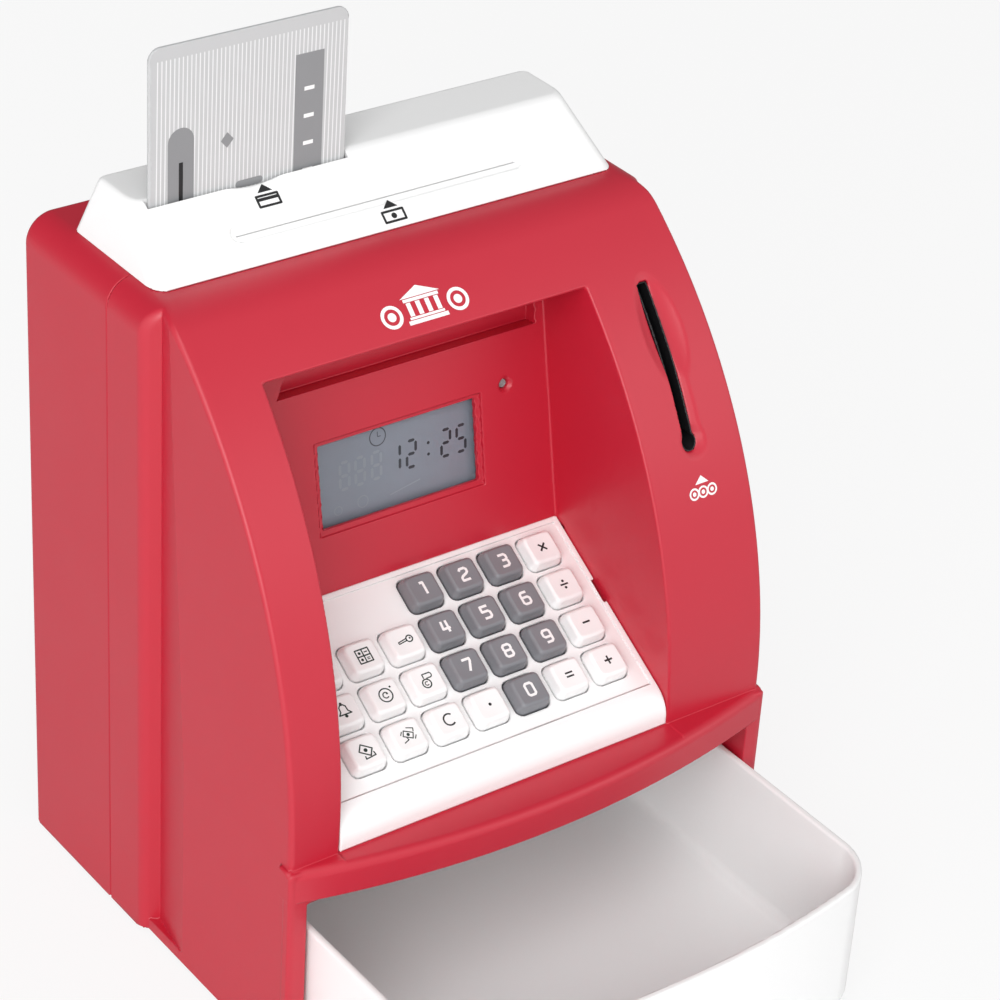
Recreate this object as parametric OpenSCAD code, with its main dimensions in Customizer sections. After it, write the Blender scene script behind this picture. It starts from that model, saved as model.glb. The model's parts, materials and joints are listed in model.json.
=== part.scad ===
// Toy cash machine savings bank: a red two-part housing with a bulged fascia, a white top
// cover with card and bill slots, a display, a 25-key pad, a coin slot and a cash drawer.
// X runs to the right, Y to the back and Z up. The drawer is open in this rest position.

/* [Housing] */
// Width over the side walls
body_w = 144.6; // [143:0.2:147]
// Height of the flat top above the table
body_h = 179.6; // [178:0.2:182]
// Distance from the origin to the back face
back_y = 91; // [90:0.5:96]
// Where the front and rear housings meet
split_y = 51.9; // [50:0.1:53]
// Front edge of the full-width part of the housing
shoulder_y = 37.6; // [37:0.1:38.4]
// Radius of the rounded top edges
edge_r = 10.6; // [8:0.2:12]
// Thickness of the housing walls
wall = 2.4; // [2:0.1:2.6]

/* [Fascia] */
// Radius of the fascia's side profile
fascia_r = 142.7; // [140:0.1:146]
// Front of the fascia at its foot
chin_y = -27.4; // [-28:0.1:-26.8]
// Radius of the soft edge between fascia and top
brow_r = 18; // [12:1:20]
// Width of the fascia at its foot
fascia_foot_w = 141.6; // [140:0.2:142]
// Width of the fascia at its top
fascia_top_w = 137.8; // [136:0.2:140]
// Height of the ledge under the keypad
ledge_z = 61.4; // [60.6:0.2:62]
// Radius of the ledge and of the drawer front, seen from above
bow_r = 268; // [240:2:320]

/* [Recess] */
// Left edge of the recess at its foot
recess_left = -57; // [-58:0.2:-56]
// Right edge of the recess at its foot
recess_right = 40.8; // [40:0.2:41.4]
// Height of the recess's top edge
recess_top = 165.6; // [164:0.2:167]
// Backward lean of the display panel in degrees
display_lean = 9.9; // [9:0.1:11]
// Slope of the keypad in degrees
key_slope = 30.7; // [30:0.1:31.4]

/* [Keys] */
// Distance between key columns
key_pitch_x = 12.05; // [11.9:0.05:12.2]
// Distance between key rows
key_pitch_y = 11.22; // [11.1:0.02:11.4]
// Height of a key cap above the panel
key_rise = 2.6; // [2:0.1:3]
// Width of a key cap
key_w = 9.8; // [9:0.1:10]
// Depth of a key cap
key_d = 9.4; // [9:0.1:9.6]

/* [Drawer] */
// Outer width of the drawer
drawer_w = 131.2; // [129:0.2:131.6]
// Height of the drawer's rim
drawer_rim = 42.5; // [40:0.5:43]
// How far the drawer stands open
drawer_open = 54; // [40:1:56]

/* [Card and slots] */
// Width of a bank card
card_w = 54; // [53.8:0.1:54.2]
// Length of a bank card
card_l = 85.6; // [85:0.1:86]
// How far the card stands out of the cover
card_show = 38; // [34:1:44]
// Width of the bill slot
bill_w = 82; // [80:1:84]
// Width of the coin slot
coin_slot_w = 3.4; // [3:0.1:3.6]

/* [Bill feeder] */
// Gear module
gear_m = 0.62; // [0.6:0.01:0.64]
// Teeth on the roller gear
gear_teeth = 24; // [24:1:24]
// Teeth on the motor pinion
pinion_teeth = 9; // [9:1:9]

/* [Hidden] */

$fn = 64;
eps = 0.01;
red = "crimson";
white = "whitesmoke";
grey = "dimgray";
metal = "silver";

hw = body_w / 2;
bottom_z = 1.2;
reach = 300;

// Fascia arc and the tangent brow arc above it
fascia_y = chin_y + fascia_r;
fascia_z = 64;
brow_z = body_h - brow_r;
brow_y = fascia_y - sqrt(pow(fascia_r - brow_r, 2) - pow(brow_z - fascia_z, 2));
brow_join_z = fascia_z + fascia_r * (brow_z - fascia_z) / (fascia_r - brow_r);
fascia_inner_hw = 65.8;

// Upright grooves beside the fascia: the corner at their bottom, seen from above
groove_x = 68.2;
groove_y = 34;
groove_z0 = 4.6;

// Ledge, jambs and drawer opening
ledge_y = -38.4;
ledge_face_z = 52.6;
jamb_y = -28.6;
jamb_hw = 70.8;
flange_hw = 71.7;
bay_hw = 66.6;
bay_top = 51.2;
chin_wall_z = 44;
plate_z0 = 1.6;
plate_z1 = 3.8;

// Screws that join the housings and hold the base plate
screw_r = 1.25;
base_screw_r = 1.1;
base_head_r = 1.6;
column_x = 64.8;
column_z = [52, 164];

// Recess: its sides draw in towards the top
recess_draft = 2.0 / 105;
recess_draft_left = 3.8 / 105;
liner_t = 2.2;

// Display plane: foot of the panel and its lean
display_y = 21.5;
display_z = 98.1;
display_top = 51.6;
lcd_x = -5.5;
lcd_t = 25.6;
lcd_w = 46;
lcd_h = 21.8;
led_x = 26.4;
led_t = 37.9;

// Keypad plane: a point on it, and the first key
pad_y = 1.4;
pad_z = 85.3;
pad_rear_s = 23.03;
pad_nose_r = 8;
pad_t = 2.2;
key_x0 = -42.4;
key_s0 = 15.06;

// Drawer
drawer_z0 = 5.4;
drawer_t = 2;
drawer_front = jamb_y - (-ledge_y + jamb_y) + 1.4 - drawer_open;
drawer_rear = drawer_front + 121;
corner_r = 12;

// Cover
cover_y0 = 39.6;
cover_y1 = 77.8;
cover_hw = 65.1;
cover_top_hw = 61;
cover_lip_y = 56.4;
cover_lip_z = 193.6;
cover_top_z = 194.2;
card_x0 = -58.3;
card_y = 56.5;
card_t = 0.8;
card_z0 = cover_lip_z + card_show - card_l;
bill_y = 47.1;

// Bill feeder
drive_y = 42.9;
drive_z = 134;
drive_r = 5;
pinch_r = 4;
pinch_y = drive_y + drive_r + pinch_r + 0.6;
gear_r = gear_m * gear_teeth / 2;
pinion_r = gear_m * pinion_teeth / 2;
motor_z = drive_z - gear_r - pinion_r;
gear_x = 46.6;
gear_t = 3.4;
feed_plate_l = -44;
feed_plate_r = 51.3;
feed_plate_t = 1.4;

// Coin path
coin_x = 54;
coin_z0 = 130.4;
coin_z1 = 163;
lever_y = 8;
lever_z = 92;

// Latch
latch_x = 50;
latch_y = 60;
latch_z = 51;

// Key grid, counted from the rear row, which has keys in its last four columns only
function key_row(k) = k < 4 ? 0 : 1 + floor((k - 4) / 7);
function key_col(k) = k < 4 ? 3 + k : (k - 4) % 7;
function key_name(k) = [
    "1", "2", "3", "multiply",
    "card", "calculator", "code", "4", "5", "6", "divide",
    "alarm", "coin", "coin_out", "7", "8", "9", "minus",
    "note", "note_out", "clear", "point", "0", "equals", "plus"][k];
function is_digit(k) = len(key_name(k)) == 1;

// ---------- helpers ----------

// Extrudes an outline drawn in Y and Z along X
module along_x(x0, x1) {
    translate([x0, 0, 0]) rotate([90, 0, 90]) linear_extrude(x1 - x0) children();
}

// Extrudes an outline drawn in X and Z along Y
module along_y(y0, y1) {
    translate([0, y1, 0]) rotate([90, 0, 0]) linear_extrude(y1 - y0) children();
}

// A box given by its lowest and highest corners
module block(a, b) {
    translate(a) cube([b[0] - a[0], b[1] - a[1], b[2] - a[2]]);
}

// A cylinder along X between two ends
module rod_x(x0, x1, y, z, r) {
    translate([x0, y, z]) rotate([0, 90, 0]) cylinder(h = x1 - x0, r = r);
}

// A cylinder along Y between two ends
module rod_y(y0, y1, x, z, r) {
    translate([x, y1, z]) rotate([90, 0, 0]) cylinder(h = y1 - y0, r = r);
}

// A rectangle with round corners, centred
module round_rect(w, d, r) {
    square([w - 2 * r, d], center = true);
    square([w, d - 2 * r], center = true);
    for (sx = [-1, 1], sy = [-1, 1])
        translate([sx * (w / 2 - r), sy * (d / 2 - r)]) circle(r);
}

// Places a child on the keypad: x across, s up the slope, child +Z out of the panel
module on_pad(x, s) {
    translate([x, pad_y + s * cos(key_slope), pad_z + s * sin(key_slope)])
        rotate([key_slope, 0, 0]) children();
}

// Places a child on the display panel: x across, t up the panel, child +Z out of it
module on_display(x, t) {
    translate([x, display_y + t * sin(display_lean), display_z + t * cos(display_lean)])
        rotate([90 - display_lean, 0, 0]) children();
}

// A round wire wound into a coil of even pitch around +Z
module coil(r, wire_r, pitch, turns) {
    steps = 20;
    sides = 8;
    rings = turns * steps;
    lean = atan(pitch / (2 * PI * r));
    points = [for (i = [0:rings], j = [0:sides - 1])
        let (a = 360 * i / steps, b = 360 * j / sides,
             out = wire_r * cos(b), up = wire_r * sin(b))
        [(r + out) * cos(a) + up * sin(lean) * sin(a),
         (r + out) * sin(a) - up * sin(lean) * cos(a),
         pitch * i / steps + up * cos(lean)]];
    sides_faces = [for (i = [0:rings - 1], j = [0:sides - 1])
        let (n = (j + 1) % sides)
        [i * sides + j, (i + 1) * sides + j, (i + 1) * sides + n, i * sides + n]];
    polyhedron(points, concat(sides_faces,
        [[for (j = [0:sides - 1]) j]],
        [[for (j = [sides - 1:-1:0]) rings * sides + j]]));
}

// ---------- housing outlines ----------

// Section of the full-width housing in X and Z, drawn in by t
module body_section(t) {
    half = hw - t;
    translate([-half, bottom_z]) square([2 * half, body_h - edge_r - bottom_z]);
    translate([-(hw - edge_r), bottom_z])
        square([2 * (hw - edge_r), body_h - t - bottom_z]);
    for (s = [-1, 1])
        translate([s * (hw - edge_r), body_h - edge_r]) circle(edge_r - t, $fn = 96);
}

// Side profile of the fascia in Y and Z, drawn in by t, down to height z0
module fascia_profile(t, z0) {
    intersection() {
        translate([fascia_y, fascia_z]) circle(fascia_r - t, $fn = 360);
        translate([chin_y - 1, fascia_z]) square([shoulder_y - chin_y + 1, brow_join_z - fascia_z]);
    }
    translate([chin_y + t, z0]) square([shoulder_y - chin_y - t, fascia_z - z0 + eps]);
    intersection() {
        translate([brow_y, brow_z]) circle(brow_r - t, $fn = 120);
        translate([brow_y - brow_r, brow_z]) square([brow_r, brow_r]);
    }
}

// Front view of the fascia in X and Z
module fascia_front_view(z0) {
    foot = fascia_foot_w / 2;
    head = fascia_top_w / 2;
    polygon([[-foot, z0], [foot, z0], [foot, ledge_z], [head, body_h],
             [-head, body_h], [-foot, ledge_z]]);
}

// Front view of the recess, grown by g
module recess_front_view(g) {
    rise = recess_top - ledge_z;
    polygon([[recess_left - g, ledge_z - 3], [recess_right + g, ledge_z - 3],
             [recess_right - recess_draft * rise + g, recess_top + g],
             [recess_left + recess_draft_left * rise - g, recess_top + g]]);
}

// Side view of the recess: ceiling, set-back step above the display, display panel
module recess_side_view() {
    lean = tan(display_lean);
    polygon([[-60, ledge_z - 3], [-60, recess_top], [14.3, recess_top], [34, 154.8],
             [34, 149.6], [display_y + display_top * sin(display_lean),
                           display_z + display_top * cos(display_lean)],
             [display_y - lean, display_z - 1], [30, display_z - 1], [30, ledge_z - 3]]);
}

// Side view of the recess's walls
module liner_side_view() {
    polygon([[-60, ledge_z], [-60, recess_top + liner_t], [15.4, recess_top + liner_t],
             [36.2, 156.2], [36.2, 148], [32.4, 147.8], [24.4, 101], [23.4, 95.6],
             [18, 93], [18, ledge_z]]);
}

// Seen from above: the bowed outline of the ledge
module ledge_outline() {
    intersection() {
        translate([0, ledge_y + bow_r]) circle(bow_r, $fn = 720);
        translate([-flange_hw, ledge_y - 1]) square([2 * flange_hw, 14.4]);
    }
}

module front_outer() {
    intersection() {
        union() {
            along_y(shoulder_y, split_y) body_section(0);
            intersection() {
                along_x(-hw, hw) fascia_profile(0, ledge_face_z);
                along_y(chin_y - 1, shoulder_y + eps) fascia_front_view(ledge_face_z);
            }
            block([-jamb_hw, jamb_y, bottom_z], [jamb_hw, shoulder_y + eps, ledge_z - 0.6]);
            block([-flange_hw, jamb_y, bottom_z], [flange_hw, jamb_y + 2.4, ledge_z - 0.6]);
            // Front corners of the side walls, behind the grooves
            for (s = [-1, 1]) block([s > 0 ? 66 : -hw, groove_y + 2.4, bottom_z],
                                    [s > 0 ? hw : -66, shoulder_y + eps, body_h - 0.6]);
            translate([0, 0, ledge_face_z]) linear_extrude(ledge_z - ledge_face_z)
                ledge_outline();
        }
        along_y(-reach, reach) body_section(0);
    }
}

module front_inner() {
    along_y(shoulder_y - eps, split_y + eps) translate([0, -eps]) body_section(wall);
    intersection() {
        along_x(-fascia_inner_hw, fascia_inner_hw) fascia_profile(wall, ledge_z - 6);
        along_y(chin_y, shoulder_y + eps) fascia_front_view(ledge_z - 6);
        along_y(-reach, reach) body_section(wall);
    }
    block([-bay_hw, -18, bay_top - 1], [bay_hw, shoulder_y + eps, ledge_z]);
    block([-bay_hw, -60, 0], [bay_hw, -20, bay_top]);
    block([-bay_hw, -60, 0], [bay_hw, shoulder_y + eps, chin_wall_z]);
    block([-bay_hw, -17.6, 0], [bay_hw, shoulder_y + eps, bay_top]);
    // Side pockets for the drawer's stop ears, and the rebate for the base plate
    block([-67.5, 16, 26], [67.5, shoulder_y + eps, 41]);
    block([-69.8, -26.8, 0], [69.8, split_y + eps, plate_z1 + 0.1]);
}

// Screw columns of the two housings, in X and Z
module columns(y0, y1, r) {
    for (s = [-1, 1], z = column_z) rod_y(y0, y1, s * column_x, z, r);
}

// Webs that tie the screw columns to the side walls
module column_webs(y0, y1) {
    for (s = [-1, 1], z = column_z)
        translate([s * (column_x + 3), (y0 + y1) / 2, z]) cube([5, y1 - y0, 1.6], center = true);
}

// ---------- housing parts ----------

module front_housing() {
    color(red) difference() {
        union() {
            difference() {
                front_outer();
                front_inner();
            }
            intersection() {
                along_y(-60, 60) recess_front_view(liner_t);
                along_x(-hw, hw) liner_side_view();
                along_x(-hw, hw) union() {
                    fascia_profile(0.6, ledge_z);
                    translate([shoulder_y - eps, ledge_z]) square([14, 110]);
                }
            }
            columns(shoulder_y + 1, split_y, 3.4);
            column_webs(shoulder_y + 1, split_y);
        }
        intersection() {
            along_y(-60, 60) recess_front_view(0);
            along_x(-hw, hw) recess_side_view();
            block([-hw, -60, ledge_z], [hw, 60, body_h]);
        }
        // Window with a stepped surround, and the indicator's hole
        on_display(lcd_x, lcd_t) {
            translate([0, 0, -6]) linear_extrude(12) square([lcd_w, lcd_h], center = true);
            translate([0, 0, -1.2]) linear_extrude(6)
                square([lcd_w + 2.6, lcd_h + 2.6], center = true);
        }
        on_display(led_x, led_t) translate([0, 0, -8]) cylinder(h = 16, r = 1.25);
        // Coin slot with its round foot
        block([coin_x - coin_slot_w / 2, -40, coin_z0], [coin_x + coin_slot_w / 2, 20, coin_z1]);
        rod_y(-40, 10, coin_x, coin_z0, 2.2);
        // Upright grooves between the fascia and the side walls
        for (s = [0, 1]) mirror([s, 0, 0]) translate([0, 0, groove_z0])
            linear_extrude(body_h) polygon([[groove_x, groove_y],
                [groove_x + 5.3, groove_y + 3.12], [groove_x + 5.3, groove_y - 19],
                [groove_x + 3.37, groove_y - 19]]);
        columns(shoulder_y + 1, split_y + eps, screw_r);
        // Opening in the top under the cover
        block([-60, 43, 170], [60, split_y + eps, body_h + 1]);
        base_screw_places() translate([0, 0, -1]) cylinder(h = 14, r = base_screw_r);
    }
}

module rear_housing() {
    color(red) difference() {
        union() {
            difference() {
                along_y(split_y, back_y) body_section(0);
                along_y(split_y - eps, back_y - wall) translate([0, -eps]) body_section(wall);
            }
            columns(split_y, back_y - wall + eps, 3.4);
            column_webs(split_y, back_y - wall);
            for (s = [-1, 1]) translate([s * 66.6, 86.8, plate_z1]) cylinder(h = 14, r = 2.6);
        }
        block([-69.8, split_y - 1, 0], [69.8, back_y - wall, plate_z1]);
        block([-60, split_y - eps, 170], [60, 74, body_h + 1]);
        // Battery opening, speaker grille and screw holes in the back wall
        block([-30, back_y - 6, 64], [30, back_y + 1, 120]);
        for (i = [-2:2], j = [-2:2]) if (abs(i + j) < 3)
            rod_y(back_y - 4, back_y + 1, 6.4 * (i + j / 2), 150 + 5.6 * j, 1.4);
        columns(split_y - eps, back_y, 1.6);
        columns(back_y - 5, back_y + 1, 3.0);
        base_screw_places() translate([0, 0, -1]) cylinder(h = 14, r = base_screw_r);
    }
}

// Where the base plate is screwed to the housings
module base_screw_places() {
    for (s = [-1, 1]) {
        translate([s * 68.2, -18, 0]) children();
        translate([s * 66.6, 86.8, 0]) children();
    }
}

module base_plate() {
    color(red) difference() {
        union() {
            block([-69.6, -26.6, plate_z0], [69.6, back_y - wall - 0.2, plate_z1]);
            // Two runners carry the drawer
            for (s = [-1, 1])
                block([s * 52 - 1.5, -24, plate_z1 - eps], [s * 52 + 1.5, 84, drawer_z0 - 0.1]);
        }
        base_screw_places() cylinder(h = 6, r = base_screw_r);
    }
}

module rubber_feet() {
    color("black") for (x = [-54, 54], y = [-15, 77])
        translate([x, y, 0]) cylinder(h = plate_z0, r = 6);
}

module housing_screws() {
    color(metal) {
        for (s = [-1, 1], z = column_z) {
            rod_y(43, back_y - 5 + eps, s * column_x, z, screw_r);
            difference() {
                rod_y(back_y - 5, back_y - 2.8, s * column_x, z, 2.7);
                for (a = [0, 90]) translate([s * column_x, back_y - 2.8, z])
                    rotate([0, a, 0]) cube([3.2, 2, 0.7], center = true);
            }
        }
        base_screw_places() {
            translate([0, 0, plate_z0 - 1]) cylinder(h = 1, r = base_head_r);
            translate([0, 0, 1]) cylinder(h = 9, r = base_screw_r);
        }
    }
}

// ---------- cover, display and keypad ----------

module cover_section(t) {
    polygon([[cover_y0 + 1.4 * t, body_h - (t > 0 ? 1 : 0)], [cover_lip_y - 0.7, cover_lip_z - t],
             [cover_lip_y + 1.4, cover_top_z - t], [73.8 - t / 2, cover_top_z - t],
             [cover_y1 - t, body_h - (t > 0 ? 1 : 0)]]);
}

module top_cover() {
    color(white) difference() {
        intersection() {
            along_x(-cover_hw, cover_hw) cover_section(0);
            along_y(cover_y0, cover_y1) polygon([[-cover_hw, body_h], [cover_hw, body_h],
                [cover_top_hw, cover_top_z], [-cover_top_hw, cover_top_z]]);
        }
        intersection() {
            along_x(-cover_hw, cover_hw) cover_section(2);
            along_y(cover_y0, cover_y1) polygon([[-cover_hw + 2, body_h - 2],
                [cover_hw - 2, body_h - 2], [cover_top_hw - 2, cover_top_z],
                [-cover_top_hw + 2, cover_top_z]]);
        }
        // Card slot with a thumb notch in front of it, and the bill slot
        block([card_x0 - 0.6, cover_lip_y - 0.7, body_h - 1],
              [card_x0 + card_w + 0.6, cover_lip_y + 1.4, body_h + 20]);
        block([-37.6, 50, cover_lip_z - 1.8], [-23, cover_lip_y, body_h + 20]);
        block([-bill_w / 2 - 0.5, bill_y - 1.1, body_h - 1],
              [bill_w / 2 - 0.5, bill_y + 1.1, body_h + 20]);
    }
}

// Side view of the keypad panel, drawn in by t: slope, round nose and front
module pad_profile(t, z0) {
    c = cos(key_slope);
    s = sin(key_slope);
    rear_y = pad_y + pad_rear_s * c;
    rear_z = pad_z + pad_rear_s * s;
    nose_y = chin_y + pad_nose_r;
    nose_z = pad_z + (nose_y - pad_nose_r * s - pad_y) * s / c - pad_nose_r * c;
    in_y = t * s;
    in_z = t * c;
    polygon([[rear_y + (t > 0 ? 1 : 0), rear_z + (t > 0 ? s / c : 0) - t / c],
             [nose_y - pad_nose_r * s + in_y, nose_z + pad_nose_r * c - in_z],
             [nose_y, nose_z], [nose_y, z0], [rear_y + (t > 0 ? 1 : 0), z0]]);
    intersection() {
        translate([nose_y, nose_z]) circle(pad_nose_r - t, $fn = 96);
        translate([nose_y - pad_nose_r, nose_z]) square([pad_nose_r + 0.1, pad_nose_r]);
    }
    translate([nose_y - pad_nose_r + t, z0]) square([pad_nose_r - t, nose_z - z0 + eps]);
}

module keypad_panel() {
    gap = 0.15;
    color(white) difference() {
        intersection() {
            along_x(-hw, hw) pad_profile(0, ledge_z);
            along_y(-60, 60) recess_front_view(-gap);
        }
        intersection() {
            along_x(-hw, hw) pad_profile(pad_t, ledge_z - 1);
            along_y(-60, 60) recess_front_view(-gap - 1.8);
        }
        for (k = [0:24]) on_pad(key_x(k), key_s(k)) translate([0, 0, -4])
            linear_extrude(8) round_rect(key_w + 0.6, key_d + 0.6, 2.1);
    }
}

function key_x(k) = key_x0 + key_pitch_x * key_col(k);
function key_s(k) = key_s0 - key_pitch_y * key_row(k);

// One key: cap, retaining flange under the panel and the stem that presses the membrane
module key(k) {
    color(is_digit(k) ? grey : white) on_pad(key_x(k), key_s(k)) {
        translate([0, 0, -pad_t - 0.2]) linear_extrude(pad_t + key_rise - 0.8)
            round_rect(key_w, key_d, 1.8);
        translate([0, 0, key_rise - 1.0 - eps]) linear_extrude(1.0 + eps)
            round_rect(key_w - 1.2, key_d - 1.2, 1.8);
        translate([0, 0, -pad_t - 1.0]) linear_extrude(0.8 + eps)
            round_rect(key_w + 1.2, key_d + 1.2, 1.2);
        translate([0, 0, -4.4]) cylinder(h = 2, r = 2.2, $fn = 32);
    }
}

module key_membrane() {
    color("lightgray") {
        on_pad(-6.2, -1.8) translate([0, 0, -6.8]) linear_extrude(0.8)
            square([88, 45], center = true);
        for (k = [0:24]) on_pad(key_x(k), key_s(k)) translate([0, 0, -6.1])
            cylinder(h = 0.6, r = 3, $fn = 32);
    }
}

module keypad_board() {
    color("darkgreen") on_pad(-6.2, -1.8) translate([0, 0, -8.5]) linear_extrude(1.6)
        square([88, 46], center = true);
}

module lcd_window() {
    color("lightblue", 0.5) on_display(lcd_x, lcd_t) translate([0, 0, -3.5])
        linear_extrude(1) square([lcd_w + 5, lcd_h + 2.4], center = true);
}

module lcd_module() {
    color("slategray") on_display(lcd_x, lcd_t) translate([0, 0, -6.7])
        linear_extrude(3.1) square([lcd_w + 8.2, lcd_h + 5.1], center = true);
}

module main_board() {
    color("darkgreen") {
        on_display(-6, 22) translate([0, 0, -8.3]) linear_extrude(1.6)
            square([62, 36], center = true);
        // Controller chip and two capacitors
        on_display(-14, 10) translate([0, 0, -9.7]) linear_extrude(1.4 + eps)
            square([14, 8], center = true);
        for (x = [8, 16]) on_display(x, 10) translate([0, 0, -13])
            cylinder(h = 4.7 + eps, r = 3, $fn = 32);
    }
}

module indicator_led() {
    color("white") on_display(led_x, led_t) {
        translate([0, 0, -6.6]) cylinder(h = 4.2, r = 2);
        translate([0, 0, -2.5]) cylinder(h = 1.1, r = 1.1);
    }
}

// ---------- coin, bill and card paths ----------

// Two cheeks 4 mm apart behind the coin slot, joined by a back wall
module coin_chute() {
    cheek_t = 1.2;
    color(grey) difference() {
        union() {
            for (x = [coin_x - 2 - cheek_t, coin_x + 2])
                intersection() {
                    along_x(x, x + cheek_t) fascia_profile(5.2, 60);
                    block([0, -22, 66], [hw, 22, 166]);
                }
            block([coin_x - 2 - cheek_t, 20.8, 66], [coin_x + 2 + cheek_t, 22, 160]);
            // Rib that holds the chute on the housing's side wall
            block([coin_x + 2 + cheek_t - eps, 14, 80], [fascia_inner_hw, 15.6, 150]);
        }
        rod_x(coin_x - 10, coin_x + 10, lever_y, lever_z, 1.05);
    }
}

module coin_lever() {
    color(white) {
        rod_x(coin_x - 5, coin_x + 5, lever_y, lever_z, 1.0);
        rod_x(coin_x - 1.4, coin_x + 1.4, lever_y, lever_z, 2.4);
        block([coin_x - 1.4, lever_y - 20, lever_z - 1], [coin_x + 1.4, lever_y, lever_z + 1]);
    }
}

module feeder_side(x) {
    difference() {
        union() {
            block([x, 38.4, 126], [x + feed_plate_t, 57, 142]);
            block([x, 38.4, 142 - eps], [x + feed_plate_t, 53, body_h - wall - 0.02]);
        }
        rod_x(x - 1, x + 3, drive_y, drive_z, 1.55);
        rod_x(x - 1, x + 3, pinch_y, drive_z, 1.25);
    }
}

// Frame of the bill feeder: two side plates, two guide plates and the motor's seat
module bill_guide() {
    color(grey) {
        feeder_side(feed_plate_l);
        difference() {
            union() {
                feeder_side(feed_plate_r);
                block([feed_plate_r, 38.4, 114], [feed_plate_r + feed_plate_t, 51, 126 + eps]);
            }
            rod_x(50, 54, drive_y, motor_z, 2.0);
        }
        for (y = [bill_y - 2.9, bill_y + 1.7])
            block([feed_plate_l + eps, y, 143.6], [feed_plate_r + eps, y + 1.2, 176]);
    }
}

module drive_shaft() {
    color(metal) rod_x(feed_plate_l - 2, feed_plate_r + 4, drive_y, drive_z, 1.5);
}

module drive_tyres() {
    color("black") for (x = [-32, 0, 32]) difference() {
        rod_x(x - 5, x + 5, drive_y, drive_z, drive_r);
        rod_x(x - 6, x + 6, drive_y, drive_z, 1.5);
    }
}

module pinch_roller() {
    color("silver") {
        rod_x(feed_plate_l - 2, feed_plate_r + 4, pinch_y, drive_z, 1.2);
        for (x = [-32, 0, 32]) rod_x(x - 4, x + 4, pinch_y, drive_z, pinch_r);
    }
}

// Spur gear in X, first tooth or gap towards +Y turned by a
module gear_outline(teeth, a) {
    r = gear_m * teeth / 2;
    pitch_a = 360 / teeth;
    circle(r - 1.1 * gear_m);
    for (i = [0:teeth - 1]) rotate(a + i * pitch_a)
        polygon([[r - 1.3 * gear_m, -0.29 * pitch_a * PI * r / 180],
                 [r + 0.85 * gear_m, -0.1 * pitch_a * PI * r / 180],
                 [r + 0.85 * gear_m, 0.1 * pitch_a * PI * r / 180],
                 [r - 1.3 * gear_m, 0.29 * pitch_a * PI * r / 180]]);
}

module roller_gear() {
    color(white) difference() {
        translate([0, drive_y, drive_z]) along_x(gear_x, gear_x + gear_t)
            gear_outline(gear_teeth, -90);
        rod_x(gear_x - 1, gear_x + gear_t + 1, drive_y, drive_z, 1.5);
    }
}

module motor_pinion() {
    color("gold") difference() {
        translate([0, drive_y, motor_z]) along_x(gear_x, gear_x + gear_t)
            gear_outline(pinion_teeth, 90 + 180 / pinion_teeth);
        rod_x(gear_x - 1, gear_x + gear_t + 1, drive_y, motor_z, 1.0);
    }
}

module feed_motor() {
    color(metal) {
        rod_x(feed_plate_r + feed_plate_t, 65, drive_y, motor_z, 7.6);
        rod_x(gear_x - 0.4, feed_plate_r + 2, drive_y, motor_z, 0.95);
    }
}

module card_pocket() {
    x0 = card_x0 - 0.5;
    x1 = card_x0 + card_w + 0.5;
    color(grey) difference() {
        block([x0 - 1.2, card_y - 2.4, card_z0 - 1.2], [x1 + 1.2, card_y + 2.4, 177]);
        block([x0, card_y - 1.2, card_z0], [x1, card_y + 1.2, 178]);
    }
}

module bank_card() {
    color("gainsboro") translate([card_x0 + card_w / 2, card_y + card_t / 2,
                                  card_z0 + card_l / 2])
        rotate([90, 0, 0]) linear_extrude(card_t) round_rect(card_w, card_l, 3.2);
}

// ---------- drawer ----------

// Drawer seen from above, drawn in by t: bowed front with corner arcs tangent to it
module drawer_outline(t) {
    half = drawer_w / 2;
    bow_y = drawer_front + bow_r;
    arc_x = half - corner_r;
    arc_y = bow_y - sqrt(pow(bow_r - corner_r, 2) - pow(arc_x, 2));
    join_x = arc_x * bow_r / (bow_r - corner_r);
    intersection() {
        translate([0, bow_y]) circle(bow_r - t, $fn = 720);
        translate([-join_x, drawer_front - 1]) square([2 * join_x, 30]);
    }
    for (s = [-1, 1]) translate([s * arc_x, arc_y]) circle(corner_r - t);
    translate([-half + t, arc_y]) square([2 * (half - t), drawer_rear - t - arc_y]);
}

module drawer_tray() {
    ear = 1.7;
    color(white) {
        difference() {
            translate([0, 0, drawer_z0]) linear_extrude(drawer_rim - drawer_z0)
                drawer_outline(0);
            translate([0, 0, drawer_z0 + drawer_t]) linear_extrude(60)
                drawer_outline(drawer_t);
        }
        // Ears that meet the end of the housing's side pockets
        for (s = [-1, 1]) translate([s * (drawer_w / 2 + ear / 2 - eps / 2), drawer_rear - 2, 34])
            cube([ear + eps, 4, 8], center = true);
    }
}

// Kicks the shut drawer out over the last of its travel
module drawer_spring() {
    color(metal) translate([0, back_y - wall - 0.6, 24]) rotate([90, 0, 0])
        coil(4.6, 0.5, 3.2, 5.5);
}

module drawer_latch() {
    color(metal) {
        rod_x(latch_x - 7, latch_x + 7, latch_y, latch_z, 1.2);
        rod_x(latch_x - 4, latch_x + 4, latch_y, latch_z, 2.8);
        block([latch_x - 4, latch_y, latch_z - 1.2], [latch_x + 4, 81.4, latch_z + 1.2]);
        block([latch_x - 4, 78.6, 43.6], [latch_x + 4, 81.4, latch_z]);
    }
}

module latch_bracket() {
    color(grey) {
        for (x = [latch_x - 6.4, latch_x + 5]) difference() {
            block([x, 55.5, 46], [x + 1.4, 65, 60.4]);
            rod_x(x - 1, x + 3, latch_y, latch_z, 1.25);
        }
        block([latch_x - 6.4, 55.5, 60], [latch_x + 6.4, 88.4, 61.6]);
        block([latch_x - 6.4, 86.8, 60], [latch_x + 6.4, 88.4, 84]);
    }
}

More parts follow.
